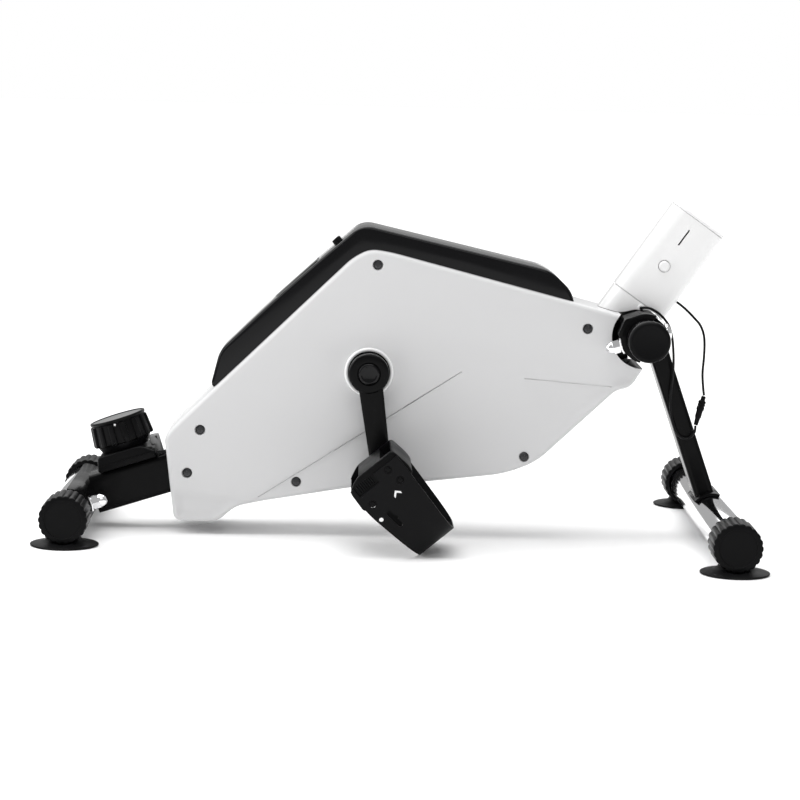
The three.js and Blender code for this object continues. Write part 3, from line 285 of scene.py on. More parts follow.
# ---------------------------------------------------------------- solid shapes
class Shape:
    """A closed solid under construction, in millimetres."""

    def __init__(self, mesh: bpy.types.Mesh) -> None:
        """Wraps a mesh."""
        self.mesh = mesh

    @classmethod
    def from_rings(cls, rings: Sequence[Sequence[Point3]]) -> "Shape":
        """Skins closed rings of equal length in order and caps both ends.

        Args:
            rings: The rings of points, from one end to the other.

        Returns:
            The closed solid, facing outwards.
        """
        build = bmesh.new()
        loops = [[build.verts.new(point) for point in ring] for ring in rings]
        for low, high in zip(loops, loops[1:]):
            count = len(low)
            for i in range(count):
                j = (i + 1) % count
                build.faces.new((low[i], low[j], high[j], high[i]))
        build.faces.new(list(reversed(loops[0])))
        build.faces.new(loops[-1])
        bmesh.ops.remove_doubles(build, verts=build.verts, dist=1e-4)
        bmesh.ops.recalc_face_normals(build, faces=build.faces)
        return cls.from_bmesh(build)

    @classmethod
    def from_bmesh(cls, build: bmesh.types.BMesh) -> "Shape":
        """Turns a bmesh into a shape and frees it."""
        mesh = bpy.data.meshes.new("shape")
        build.to_mesh(mesh)
        build.free()
        return cls(mesh)

    def moved(self, matrix: Matrix) -> "Shape":
        """The shape after a rigid move."""
        self.mesh.transform(matrix)
        if matrix.is_negative:
            self.mesh.flip_normals()
        return self

    def shifted(self, x: float = 0.0, y: float = 0.0, z: float = 0.0) -> "Shape":
        """The shape after a shift."""
        return self.moved(Matrix.Translation((x, y, z)))

    def mirrored(self, side: Side) -> "Shape":
        """The right-hand shape as it is, or its mirror image for the left."""
        return self if side is Side.RIGHT else self.moved(Matrix.Scale(-1, 4, (0, 1, 0)))

    def combined(self, other: "Shape", operation: str) -> "Shape":
        """Joins, cuts or intersects with another shape.

        Args:
            other: The other solid, left unchanged.
            operation: UNION, DIFFERENCE or INTERSECT.

        Returns:
            The new solid.
        """
        host = bpy.data.objects.new("host", self.mesh)
        tool = bpy.data.objects.new("tool", other.mesh)
        bpy.context.collection.objects.link(host)
        bpy.context.collection.objects.link(tool)
        modifier = host.modifiers.new("cut", "BOOLEAN")
        modifier.operation = operation
        modifier.solver = "MANIFOLD"
        modifier.object = tool
        mesh = evaluated_mesh(host)
        bpy.data.objects.remove(host)
        bpy.data.objects.remove(tool)
        return Shape(mesh)

    def join(self, *others: "Shape") -> "Shape":
        """The union with other shapes."""
        result = self
        for other in others:
            result = result.combined(other, "UNION")
        return result

    def cut(self, *tools: "Shape") -> "Shape":
        """The shape with other shapes taken away."""
        result = self
        for tool in tools:
            result = result.combined(tool, "DIFFERENCE")
        return result

    def common(self, other: "Shape") -> "Shape":
        """The part that both shapes share."""
        return self.combined(other, "INTERSECT")


def evaluated_mesh(item: bpy.types.Object) -> bpy.types.Mesh:
    """The mesh of an object with its modifiers applied."""
    graph = bpy.context.evaluated_depsgraph_get()
    graph.update()
    return bpy.data.meshes.new_from_object(item.evaluated_get(graph))


def about_y(degrees: float) -> Matrix:
    """A turn about the Y axis that raises +X by an angle."""
    return Matrix.Rotation(-math.radians(degrees), 4, "Y")


def rounded_outline(points: Sequence[Sequence[float]], segments: int = 10) -> list[Point2]:
    """An outline with its corners rounded.

    Args:
        points: (x, z, corner length) of each corner, anticlockwise.
        segments: Steps in each rounded corner.

    Returns:
        The closed outline's points.
    """
    outline: list[Point2] = []
    count = len(points)
    for i, point in enumerate(points):
        x, z = point[0], point[1]
        radius = point[2] if len(point) > 2 else 0.0
        if radius <= 0:
            outline.append((x, z))
            continue
        corner = Vector((x, z))
        before = Vector(points[(i - 1) % count][:2])
        after = Vector(points[(i + 1) % count][:2])
        start = corner + (before - corner).normalized() * radius
        end = corner + (after - corner).normalized() * radius
        for k in range(segments + 1):
            t = k / segments
            spot = start * (1 - t) ** 2 + corner * (2 * t * (1 - t)) + end * t**2
            outline.append((spot.x, spot.y))
    return outline


def dense_outline(outline: Loop, step: float) -> list[Point2]:
    """An outline with extra points, so that no edge is longer than a step."""
    result: list[Point2] = []
    for (x0, z0), (x1, z1) in zip(outline, [*outline[1:], outline[0]]):
        parts = max(1, math.ceil(math.hypot(x1 - x0, z1 - z0) / step))
        result += [(x0 + (x1 - x0) * k / parts, z0 + (z1 - z0) * k / parts) for k in range(parts)]
    return result


def inset_outline(outline: Loop, distance: float) -> list[Point2]:
    """An anticlockwise outline moved inwards along its mitres."""
    if distance == 0:
        return list(outline)
    moved: list[Point2] = []
    count = len(outline)
    for i, (x, z) in enumerate(outline):
        before = (Vector(outline[i]) - Vector(outline[(i - 1) % count])).normalized()
        after = (Vector(outline[(i + 1) % count]) - Vector(outline[i])).normalized()
        inward = Vector((-before.y - after.y, before.x + after.x)).normalized()
        reach = distance / max(0.35, inward.dot(Vector((-after.y, after.x))))
        moved.append((x + inward.x * reach, z + inward.y * reach))
    return moved


def slab(outline: Loop, y0: float, y1: float, edge: float = 0.0, rounds: int = 4) -> Shape:
    """A side profile in X and Z, drawn out along Y.

    Args:
        outline: The anticlockwise outline.
        y0: The lower end.
        y1: The upper end.
        edge: Radius of the rounded rims.
        rounds: Steps in each rim.

    Returns:
        The solid.
    """
    stations = [(y0, 0.0), (y1, 0.0)]
    if edge > 0:
        turn = [math.pi / 2 * k / rounds for k in range(rounds + 1)]
        low = [(y0 + edge * (1 - math.sin(a)), edge * (1 - math.cos(a))) for a in reversed(turn)]
        stations = [*low, *[(y0 + y1 - y, inset) for y, inset in reversed(low)]]
    rings = [[(x, y, z) for x, z in inset_outline(outline, inset)] for y, inset in stations]
    return Shape.from_rings(rings)


def lathe(profile: Loop, sides: int = FINE, axis: str = "Y") -> Shape:
    """A (radius, height) profile turned about an axis; it starts and ends on that axis."""
    build = bmesh.new()
    rings = []
    for radius, height in profile:
        if radius < 1e-6:
            rings.append([build.verts.new((0, 0, height))])
            continue
        turn = [2 * math.pi * k / sides for k in range(sides)]
        rings.append([build.verts.new((radius * math.cos(a), radius * math.sin(a), height)) for a in turn])
    for low, high in zip(rings, rings[1:]):
        for k in range(sides):
            corners = [low[k % len(low)], low[(k + 1) % len(low)], high[(k + 1) % len(high)],
                       high[k % len(high)]]
            corners = list(dict.fromkeys(corners))
            if len(corners) > 2:
                build.faces.new(corners)
    bmesh.ops.recalc_face_normals(build, faces=build.faces)
    shape = Shape.from_bmesh(build)
    if axis == "Y":
        return shape.moved(Matrix.Rotation(-math.pi / 2, 4, "X"))
    if axis == "X":
        return shape.moved(Matrix.Rotation(math.pi / 2, 4, "Y"))
    return shape


def softened(radius: float, low: float, high: float, edge: float, steps: int = 4) -> list[Point2]:
    """The profile of a disc or rod with rounded rims."""
    turn = [math.pi / 2 * k / steps for k in range(steps + 1)]
    rim = [(radius - edge * (1 - math.sin(a)), low + edge * (1 - math.cos(a))) for a in turn]
    return [(0.0, low), *rim, *[(r, low + high - h) for r, h in reversed(rim)], (0.0, high)]


def rod(axis: str, centre: Point2, radius: float, low: float, high: float, edge: float = 0.0,
        sides: int = MEDIUM) -> Shape:
    """A round rod along an axis; centre gives its place on the other two axes, in X, Y, Z order."""
    profile = [(0, low), (radius, low), (radius, high), (0, high)]
    if edge:
        profile = softened(radius, low, high, edge)
    shape = lathe(profile, sides, axis)
    first, second = centre
    return {
        "X": lambda: shape.shifted(y=first, z=second),
        "Y": lambda: shape.shifted(x=first, z=second),
        "Z": lambda: shape.shifted(x=first, y=second),
    }[axis]()


def block(x: Point2, y: Point2, z: Point2, edge: float = 0.0) -> Shape:
    """A box between two corners, with rounded edges if asked."""
    outline = [(x[0], z[0]), (x[1], z[0]), (x[1], z[1]), (x[0], z[1])]
    if edge > 0:
        outline = rounded_outline([(*p, edge * 1.2) for p in outline], 5)
        outline = dense_outline(outline, 1000)
    return slab(outline, y[0], y[1], edge, 3)


def arc_slab(inner: float, outer: float, start: float, end: float, y0: float, y1: float,
             edge: float = 0.5) -> Shape:
    """A part of a ring about Y between two angles in degrees, from +X towards +Z."""
    steps = max(4, math.ceil((end - start) / 4))
    angles = [math.radians(start + (end - start) * k / steps) for k in range(steps + 1)]
    outline = [(outer * math.cos(a), outer * math.sin(a)) for a in angles]
    outline += [(inner * math.cos(a), inner * math.sin(a)) for a in reversed(angles)]
    return slab(outline, y0, y1, edge, 2)


def swept(points: Sequence[Point3], radius: float, sides: int = 16, per_span: int = 6) -> Shape:
    """A round tube along a smooth curve through points."""
    path = smooth_path(points, per_span)
    rings = []
    normal = Vector((0, 1, 0))
    for i, spot in enumerate(path):
        ahead = path[min(i + 1, len(path) - 1)] - path[max(i - 1, 0)]
        ahead.normalize()
        normal = (normal - ahead * normal.dot(ahead)).normalized()
        across = ahead.cross(normal)
        turn = [2 * math.pi * k / sides for k in range(sides)]
        rings.append([tuple(spot + (normal * math.cos(a) + across * math.sin(a)) * radius) for a in turn])
    return Shape.from_rings(rings)


def smooth_path(points: Sequence[Point3], per_span: int) -> list[Vector]:
    """Points on a centripetal Catmull-Rom curve through the given points."""
    spots = [Vector(p) for p in points]
    spots = [spots[0] * 2 - spots[1], *spots, spots[-1] * 2 - spots[-2]]
    path: list[Vector] = []
    for i in range(1, len(spots) - 2):
        p0, p1, p2, p3 = spots[i - 1 : i + 3]
        t1 = math.sqrt((p1 - p0).length)
        t2 = t1 + math.sqrt((p2 - p1).length)
        t3 = t2 + math.sqrt((p3 - p2).length)
        for k in range(per_span):
            t = t1 + (t2 - t1) * k / per_span
            a1 = p0 * ((t1 - t) / t1) + p1 * (t / t1)
            a2 = p1 * ((t2 - t) / (t2 - t1)) + p2 * ((t - t1) / (t2 - t1))
            a3 = p2 * ((t3 - t) / (t3 - t2)) + p3 * ((t - t2) / (t3 - t2))
            b1 = a1 * ((t2 - t) / t2) + a2 * (t / t2)
            b2 = a2 * ((t3 - t) / (t3 - t1)) + a3 * ((t - t1) / (t3 - t1))
            path.append(b1 * ((t2 - t) / (t2 - t1)) + b2 * ((t - t1) / (t2 - t1)))
    path.append(spots[-2])
    return path


# ---------------------------------------------------------------- the workshop
class Workshop:
    """Turns shapes into finished pieces and keeps the materials."""

    def __init__(self) -> None:
        """Builds the shared shader groups and every finish."""
        groups = {"grain": grain_group(), "dust": dust_group()}
        self.materials = {finish.name: finish.build(groups) for finish in FINISHES}

    def material(self, finish: Finish) -> bpy.types.Material:
        """The material of a finish."""
        return self.materials[finish.name]

    def piece(self, name: str, shape: Shape, finish: Finish, body: Body, replaces: Sequence[str] = (),
              bevel: float = 0.0, crease: float = 38.0) -> bpy.types.Object:
        """Makes a finished piece from a shape.

        Args:
            name: The piece's name.
            shape: The shape, in millimetres.
            finish: Its finish.
            body: The CAD body that it rides on.
            replaces: The CAD nodes that it stands for.
            bevel: Width of a bevel on its sharp edges, in millimetres.
            crease: The angle in degrees past which an edge stays sharp.

        Returns:
            The new object.
        """
        mesh = shape.mesh
        mesh.transform(Matrix.Scale(MM, 4))
        item = bpy.data.objects.new(name, mesh)
        bpy.context.collection.objects.link(item)
        if bevel > 0:
            modifier = item.modifiers.new("edge", "BEVEL")
            modifier.width = bevel * MM
            modifier.segments = 2
            modifier.limit_method = "ANGLE"
            modifier.angle_limit = math.radians(crease)
            mesh = evaluated_mesh(item)
            item.modifiers.clear()
            item.data = mesh
        mesh.name = name
        mesh.shade_smooth()
        mesh.set_sharp_from_angle(angle=math.radians(crease))
        return self.dressed(item, finish, body, replaces)

    def dressed(self, item: bpy.types.Object, finish: Finish, body: Body,
                replaces: Sequence[str] = ()) -> bpy.types.Object:
        """Gives an object its material and body, and hides the CAD nodes that it stands for."""
        item.data.materials.clear()
        item.data.materials.append(self.material(finish))
        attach(item, body.value)
        if replaces:
            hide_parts(*replaces)
        LOG.info("%s rides on %s", item.name, body.value)
        return item

    def dress_node(self, node: str, finish: Finish) -> None:
        """Gives a CAD node that stays its procedural material."""
        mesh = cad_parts[node].data
        mesh.materials.clear()
        mesh.materials.append(self.material(finish))


# ---------------------------------------------------------------- geometry node trees
def new_geometry_tree(name: str, inputs: Sequence[tuple[str, str]]):
    """Makes an empty geometry node tree with named inputs and one geometry output."""
    tree = bpy.data.node_groups.new(name, "GeometryNodeTree")
    for label, kind in inputs:
        tree.interface.new_socket(label, in_out="INPUT", socket_type=kind)
    tree.interface.new_socket("Geometry", in_out="OUTPUT", socket_type="NodeSocketGeometry")
    return tree, tree.nodes.new("NodeGroupInput"), tree.nodes.new("NodeGroupOutput")


def ring_tree() -> bpy.types.NodeTree:
    """Copies of one item on a circle about Z, each turned to face outwards."""
    tree, source, sink = new_geometry_tree("ring_of_copies", [
        ("Item", "NodeSocketObject"), ("Count", "NodeSocketInt"), ("Radius", "NodeSocketFloat"),
        ("Material", "NodeSocketMaterial"),
    ])
    link = tree.links.new
    circle = tree.nodes.new("GeometryNodeMeshCircle")
    item = tree.nodes.new("GeometryNodeObjectInfo")
    copies = tree.nodes.new("GeometryNodeInstanceOnPoints")
    index = tree.nodes.new("GeometryNodeInputIndex")
    share = tree.nodes.new("ShaderNodeMath")
    share.operation = "DIVIDE"
    angle = tree.nodes.new("ShaderNodeMath")
    angle.operation = "MULTIPLY"
    angle.inputs[1].default_value = 2 * math.pi
    turn = tree.nodes.new("ShaderNodeCombineXYZ")
    real = tree.nodes.new("GeometryNodeRealizeInstances")
    paint = tree.nodes.new("GeometryNodeSetMaterial")
    link(source.outputs["Count"], circle.inputs["Vertices"])
    link(source.outputs["Radius"], circle.inputs["Radius"])
    link(source.outputs["Item"], item.inputs["Object"])
    link(circle.outputs["Mesh"], copies.inputs["Points"])
    link(item.outputs["Geometry"], copies.inputs["Instance"])
    link(index.outputs[0], share.inputs[0])
    link(source.outputs["Count"], share.inputs[1])
    link(share.outputs[0], angle.inputs[0])
    link(angle.outputs[0], turn.inputs["Z"])
    link(turn.outputs[0], copies.inputs["Rotation"])
    link(copies.outputs["Instances"], real.inputs["Geometry"])
    link(real.outputs["Geometry"], paint.inputs["Geometry"])
    link(source.outputs["Material"], paint.inputs["Material"])
    link(paint.outputs["Geometry"], sink.inputs["Geometry"])
    return tree


def points_tree() -> bpy.types.NodeTree:
    """Copies of one item on the vertices of the host mesh."""
    tree, source, sink = new_geometry_tree("copies_on_points", [
        ("Geometry", "NodeSocketGeometry"), ("Item", "NodeSocketObject"), ("Material", "NodeSocketMaterial"),
    ])
    link = tree.links.new
    item = tree.nodes.new("GeometryNodeObjectInfo")
    copies = tree.nodes.new("GeometryNodeInstanceOnPoints")
    real = tree.nodes.new("GeometryNodeRealizeInstances")
    paint = tree.nodes.new("GeometryNodeSetMaterial")
    link(source.outputs["Geometry"], copies.inputs["Points"])
    link(source.outputs["Item"], item.inputs["Object"])
    link(item.outputs["Geometry"], copies.inputs["Instance"])
    link(copies.outputs["Instances"], real.inputs["Geometry"])
    link(real.outputs["Geometry"], paint.inputs["Geometry"])
    link(source.outputs["Material"], paint.inputs["Material"])
    link(paint.outputs["Geometry"], sink.inputs["Geometry"])
    return tree


@dataclass
class Repeater:
    """Runs the geometry node trees that repeat one small shape."""

    shop: Workshop
    ring: bpy.types.NodeTree = field(default_factory=ring_tree)
    scatter: bpy.types.NodeTree = field(default_factory=points_tree)

    def run(self, host_mesh: bpy.types.Mesh, tree: bpy.types.NodeTree, item: Shape,
            values: dict[str, object]) -> Shape:
        """Applies a tree to a host mesh and returns the realised copies.

        Args:
            host_mesh: The mesh that carries the modifier.
            tree: The geometry node tree.
            item: The shape to repeat.
            values: The tree's other inputs by name.

        Returns:
            The copies as one shape.
        """
        pattern = bpy.data.objects.new("pattern", item.mesh)
        host = bpy.data.objects.new("host", host_mesh)
        bpy.context.collection.objects.link(pattern)
        bpy.context.collection.objects.link(host)
        modifier = host.modifiers.new("repeat", "NODES")
        modifier.node_group = tree
        sockets = {entry.name: entry.identifier for entry in tree.interface.items_tree
                   if getattr(entry, "in_out", "") == "INPUT"}
        modifier[sockets["Item"]] = pattern
        for label, value in values.items():
            modifier[sockets[label]] = value
        mesh = evaluated_mesh(host)
        bpy.data.objects.remove(host)
        bpy.data.objects.remove(pattern)
        return Shape(mesh)

    def on_ring(self, item: Shape, count: int, radius: float, finish: Finish) -> Shape:
        """Copies of a shape on a circle about Z."""
        values = {"Count": count, "Radius": radius, "Material": self.shop.material(finish)}
        return self.run(bpy.data.meshes.new("ring_host"), self.ring, item, values)

    def on_points(self, item: Shape, points: Sequence[Point3], finish: Finish) -> Shape:
        """Copies of a shape at points."""
        host = bpy.data.meshes.new("points_host")
        host.from_pydata([tuple(p) for p in points], [], [])
        return self.run(host, self.scatter, item, {"Material": self.shop.material(finish)})


def heap(*shapes: Shape) -> Shape:
    """Several closed solids in one mesh, not fused."""
    build = bmesh.new()
    for shape in shapes:
        build.from_mesh(shape.mesh)
    return Shape.from_bmesh(build)


def node_centre(node: str) -> Vector:
    """The middle of a CAD node's box, in millimetres."""
    low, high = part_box(node)
    return (Vector(low) + Vector(high)) / (2 * MM)


def rim_of(node: str, side: Side) -> float:
    """How far out a CAD node reaches on one side, in millimetres from the middle plane."""
    low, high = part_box(node)
    return (-low[1] if side is Side.RIGHT else high[1]) / MM


# ---------------------------------------------------------------- nested frames
REAR_AXIS = node_centre("rear_stabiliser_tube")
FRONT_AXIS = node_centre("front_stabiliser_tube")
CROSS_AXIS = node_centre("cross_tube")
CRANK_AXIS = node_centre("crank_axle")
SPINE_RUN = CROSS_AXIS - REAR_AXIS
SPINE_LENGTH = SPINE_RUN.length
SPINE_ANGLE = math.degrees(math.atan2(SPINE_RUN.z, SPINE_RUN.x))
LEG_ANGLE = 19.6
MAST_LEAN = 34.7
SPINE = Matrix.Translation(REAR_AXIS) @ about_y(SPINE_ANGLE)
LEG = Matrix.Translation(FRONT_AXIS) @ about_y(LEG_ANGLE)
MAST_OFFSET = Vector((-20.2, 0.0, 25.2))
MAST = Matrix.Translation(CROSS_AXIS) @ about_y(-MAST_LEAN) @ Matrix.Translation(MAST_OFFSET)


def spine_shape(shape: Shape) -> Shape:
    """Moves a shape from spine axes to the object's axes."""
    return shape.moved(SPINE)


# ---------------------------------------------------------------- stabilisers, caps and feet
@dataclass
class Stabiliser:
    """One chrome stabiliser tube with its ribbed end caps and suction feet."""

    shop: Workshop
    repeat: Repeater
    name: str
    axis: Vector
    radius: float = 19.0
    cap_radius: float = 24.0
    cap_length: float = 44.0
    ribs: int = 22
    lobe_depth: float = 1.3
    lobe_shape: float = 0.7
    foot_radius: float = 33.5

    def tube(self) -> None:
        """Makes the chrome tube."""
        node = f"{self.name}_stabiliser_tube"
        half = rim_of(node, Side.LEFT)
        shape = rod("Y", (self.axis.x, self.axis.z), self.radius, -half, half, 0.6, FINE)
        self.shop.piece(f"{node}_chrome", shape, CHROME, Body.STAND, [node])

    def lobed_ring(self, y: float, radius: float) -> list[Point3]:
        """One ring of a cap's lobed barrel, with its grooves cut in from the given radius."""
        ring = []
        steps = FINE * 3
        for k in range(steps):
            turn = 2 * math.pi * k / steps
            r = radius - self.lobe_depth * (1 - abs(math.cos(self.ribs * turn / 2)) ** self.lobe_shape)
            ring.append((r * math.cos(turn), y, r * math.sin(turn)))
        return ring

    def cap(self, side: Side) -> None:
        """Makes one end cap: a barrel with rounded lobes all round it and a dished outer face."""
        node = f"{self.name}_end_cap_{side.label}"
        outer, length = self.cap_radius, self.cap_length
        face = rim_of(node, side)
        stations = [(0.0, 1.5), (0.25, 0.7), (0.8, 0.2), (1.6, 0.0), (length - 1.2, 0.0), (length - 0.4, 0.3),
                    (length, 1.0)]
        barrel = Shape.from_rings([self.lobed_ring(y, outer - inset) for y, inset in stations])
        dish = lathe([(0, -1), (outer - 5.6, -1), (outer - 5.6, 0.5), (outer - 6.0, 1.0), (0, 1.2)], FINE)
        bore = rod("Y", (0, 0), self.radius + 0.3, 6, length + 2, sides=FINE)
        body = barrel.cut(dish, bore)
        whole = body.shifted(y=-face).mirrored(side).shifted(x=self.axis.x, z=self.axis.z)
        self.shop.piece(f"{node}_ribbed", whole, MOULDED_BLACK, Body.STAND, [node])

    def foot(self, side: Side) -> None:
        """Makes one suction foot: a thin cupped disc with a hub that cradles the end cap."""
        node = f"{self.name}_foot_{side.label}"
        centre = node_centre(node)
        radius = self.foot_radius
        profile = [
            (0, 1.2), (radius - 5, 1.0), (radius - 4.5, 0), (radius - 1, 0), (radius - 0.2, 0.3),
            (radius, 0.9), (radius - 0.3, 1.6), (radius - 1.4, 2.1), (24, 3.2), (19.5, 4.6), (17, 6.6),
            (15.6, 9), (15, 11), (0, 11),
        ]
        pad = lathe(profile, FINE, "Z")
        cradle = rod("Y", (0, self.axis.z), self.cap_radius + 0.3, -40, 40)
        shape = pad.cut(cradle).shifted(x=centre.x, y=centre.y)
        self.shop.piece(f"{node}_cup", shape, RUBBER, Body.STAND, [node])

    def build(self) -> None:
        """Makes the tube, both caps and both feet."""
        self.tube()
        for side in Side:
            self.cap(side)
            self.foot(side)


# ---------------------------------------------------------------- frame, leg, bolts and cross tube
@dataclass
class SaddleSizes:
    """Sizes of the bent saddles that grip the round tubes."""

    inner: float = 19.3
    outer: float = 22.3
    front_outer: float = 24.8
    rear_half: float = 88.0
    front_half: float = 68.0
    rear_bolt: float = 78.0
    front_bolt: float = 59.0


@dataclass
class Chassis:
    """The welded spine with its saddles, the front leg, the cross tube and every saddle bolt."""

    shop: Workshop
    saddle: SaddleSizes = field(default_factory=SaddleSizes)
    tube_half: float = 20.0

    def front_form(self, half: float, grow: float = 0.0) -> Shape:
        """The upper saddle's outer form in spine axes, with its flat boss for the bolts."""
        outer = self.saddle.front_outer + grow
        boss = [
            (2, outer), (-14.6 - grow, 24.6 + grow, 2), (-25.6 - grow, 11.5, 2), (-24.2 - grow, 8.2), (0, 0),
        ]
        barrel = rod("Y", (0, 0), outer, -half, half, 0.8, FINE)
        return barrel.join(slab(rounded_outline(boss, 5), -half, half, 0.8, 2)).shifted(x=SPINE_LENGTH)

    def spine(self) -> None:
        """Makes the spine tube, both saddles, the crank shell and the wheel boss."""
        half, sizes = self.tube_half, self.saddle
        section = rounded_outline([(-half, -half, 6), (half, -half, 6), (half, half, 6), (-half, half, 6)], 6)
        ends = [sizes.inner, SPINE_LENGTH - sizes.inner]
        tube = Shape.from_rings([[(x, y, z) for y, z in section] for x in ends])
        rear = arc_slab(sizes.inner, sizes.outer, -78, 78, -sizes.rear_half, sizes.rear_half, 0.7)
        wedge = slab([(0, 0), (-60, -104), (80, -104), (80, 95)], -100, 100).shifted(x=SPINE_LENGTH)
        bore = rod("Y", (SPINE_LENGTH, 0), sizes.inner, -100, 100, sides=FINE)
        front = self.front_form(sizes.front_half).cut(bore, wedge)
        turn = SPINE.inverted()
        crank = turn @ Vector((CRANK_AXIS.x, 0, CRANK_AXIS.z))
        wheel = turn @ Vector((97, 0, 196))
        shell = rod("Y", (crank.x, crank.z), 20, -31.5, 31.5).join(
            *[block((crank.x - 18, crank.x + 18), (y - 2, y + 2), (half - 1, crank.z)) for y in (-14, 14)])
        boss = rod("Y", (wheel.x, wheel.z), 12, -19, 19).join(
            block((wheel.x - 8, wheel.x + 8), (-12, 12), (half - 1, wheel.z)))
        whole = tube.join(rear, front, shell, boss).cut(
            rod("Y", (crank.x, crank.z), 16.3, -32, 32),
            rod("Y", (wheel.x, wheel.z), 6.3, -20, 20),
            rod("Y", (0, 0), sizes.inner, -100, 100, sides=FINE),
            bore,
        )
        self.shop.piece("spine_and_saddles", spine_shape(whole), SATIN_BLACK, Body.STAND, ["main_frame"])

    def leg(self) -> None:
        """Makes the flat front leg between its two half saddles."""
        sizes = self.saddle
        place = LEG.inverted() @ CROSS_AXIS
        dx, dy = 10.0, 20.0
        section = rounded_outline([(-dx, -dy, 5), (dx, -dy, 5), (dx, dy, 5), (-dx, dy, 5)], 6)
        tube = Shape.from_rings([[(x, y, z) for x, y in section] for z in (19.0, place.z + 2)])
        lower = arc_slab(sizes.inner, sizes.outer, 50, 125, -30, 30, 0.7)
        upper = arc_slab(sizes.inner, sizes.outer, -112, 40, -sizes.front_half, sizes.front_half, 0.7)
        whole = tube.join(lower, upper.shifted(x=place.x, z=place.z)).cut(
            rod("Y", (0, 0), sizes.inner, -60, 60, sides=FINE),
            rod("Y", (place.x, place.z), sizes.inner, -90, 90, sides=FINE),
        )
        self.shop.piece("front_leg_painted", whole.moved(LEG), SATIN_BLACK, Body.STAND, ["front_leg"])

    def bolt(self, name: str, head_seat: float, nut_seat: float, place: Matrix) -> None:
        """Makes a carriage bolt along +X with its curved washer and acorn nut."""
        head = lathe([
            (0, -0.4), (9, -0.4), (9, 0.3), (8.2, 1.6), (6.9, 2.7), (5.0, 3.6), (2.6, 4.1), (0, 4.2),
        ], MEDIUM, "X").moved(Matrix.Rotation(math.pi, 4, "Z")).shifted(x=-head_seat)
        shank = rod("X", (0, 0), 4, -head_seat, nut_seat + 9, sides=SMALL)
        washer = arc_slab(nut_seat, nut_seat + 1.5, -18, 18, -8.5, 8.5, 0.4)
        hexagon = [(7.5 * math.cos(math.pi * k / 3), 7.5 * math.sin(math.pi * k / 3)) for k in range(6)]
        nut = slab(hexagon, 0, 7).moved(Matrix.Rotation(math.pi / 2, 4, "Z")).shifted(x=nut_seat + 8.3)
        cone = lathe([(0, -0.1), (6.4, -0.1), (8.2, 1.1), (8.2, 6.2), (6.7, 7.2), (0, 7.2)], MEDIUM, "X")
        nut = nut.common(cone.shifted(x=nut_seat + 1.3))
        dome = lathe([
            (0, 0), (6.3, 0), (6.35, 1.5), (6.1, 3), (5.5, 4.6), (4.6, 6), (3.4, 7.1), (2.0, 7.8), (0, 8.1),
        ], MEDIUM, "X").shifted(x=nut_seat + 8.2)
        whole = heap(head, shank, washer, nut, dome).moved(place)
        self.shop.piece(f"{name}_plated", whole, CHROME, Body.STAND, [name])

    def bolts(self) -> None:
        """Makes the four saddle bolts."""
        sizes = self.saddle
        for side in Side:
            y = side.value * sizes.rear_bolt
            place = SPINE @ Matrix.Translation((0, y, 0))
            self.bolt(f"rear_saddle_bolt_{side.label}", 19.3, sizes.outer + 0.3, place)
            y = side.value * sizes.front_bolt
            place = SPINE @ Matrix.Translation((SPINE_LENGTH, y, 0)) @ Matrix.Rotation(math.pi, 4, "Y")
            self.bolt(f"front_saddle_bolt_{side.label}", sizes.outer + 0.3, sizes.front_outer + 0.5, place)

    def cross_tube(self) -> None:
        """Makes the cross tube and its two domed caps."""
        half = rim_of("cross_tube", Side.LEFT)
        place = (CROSS_AXIS.x, CROSS_AXIS.z)
        self.shop.piece("cross_tube_chrome", rod("Y", place, 19.0, -half, half, 0.6, FINE), CHROME,
                        Body.STAND, ["cross_tube"])
        profile = [
            (0, -14), (17.2, -14), (17.2, 0), (19.4, 0), (20.2, 0.7), (20.6, 3), (20.8, 6), (20.6, 8.6),
            (20.2, 10), (19.5, 11.1), (18.4, 11.8), (17, 12), (15.4, 11.7), (14, 11.4), (0, 11.2),
        ]
        for side in Side:
            plug = lathe(profile, FINE).moved(Matrix.Rotation(math.pi, 4, "X")).shifted(y=-half - GAP)
            plug = plug.mirrored(side).shifted(x=place[0], z=place[1])
            self.shop.piece(f"cross_cap_{side.label}_domed", plug, MOULDED_BLACK, Body.STAND,
                            [f"cross_tube_cap_{side.label}"])

    def build(self) -> None:
        """Makes the whole chassis."""
        self.spine()
        self.leg()
        self.bolts()
        self.cross_tube()


# ---------------------------------------------------------------- casing
CASE_CORNERS = [
    (-221.5, 12.5, 9), (-178, 12.5, 9), (-160, 28.5, 9), (-133.5, 34.5, 8), (-42.6, 50.4, 12), (30, 57.4, 20),
    (110, 67.2, 16), (141.6, 79.8, 14), (219.6, 154.1, 6), (234.3, 157.3, 8), (243, 172, 8), (266, 205, 12),
    (246, 236, 12), (224.5, 229.6, 8), (-8.8, 287.6, 11), (-30, 290.5, 9), (-47.5, 281.1, 9),
    (-222.4, 109.6, 7.5), (-232.3, 98, 7.5),
]
# Each line runs towards +X on the side face, which sinks below it.
FOLD_LINE = ((24.5, 206.9), (160.7, 195.0))
CREASE_LINE = ((-137.0, 38.8), (64.3, 169.7))
NOSE_LINE = ((127.3, 164.2), (215.0, 157.6))
SKIRT_LINE = ((-226.6, 46.2), (-137.3, 35.2))
# Start, end and floor of each groove. The floor is a distance from the middle plane.
GROOVES = (
    (CREASE_LINE[0], (-60.0, 88.9), 48.6),
    ((-61.0, 88.2), (8.0, 133.1), 48.0),
    ((7.0, 132.5), CREASE_LINE[1], 46.4),
    (*NOSE_LINE, 46.0),
)
SCREW_SPOTS = [(-21.9, 275), (189.3, 215.7), (-196.4, 105.6), (-208.8, 61.8), (-99.3, 55), (129.1, 85.2)]


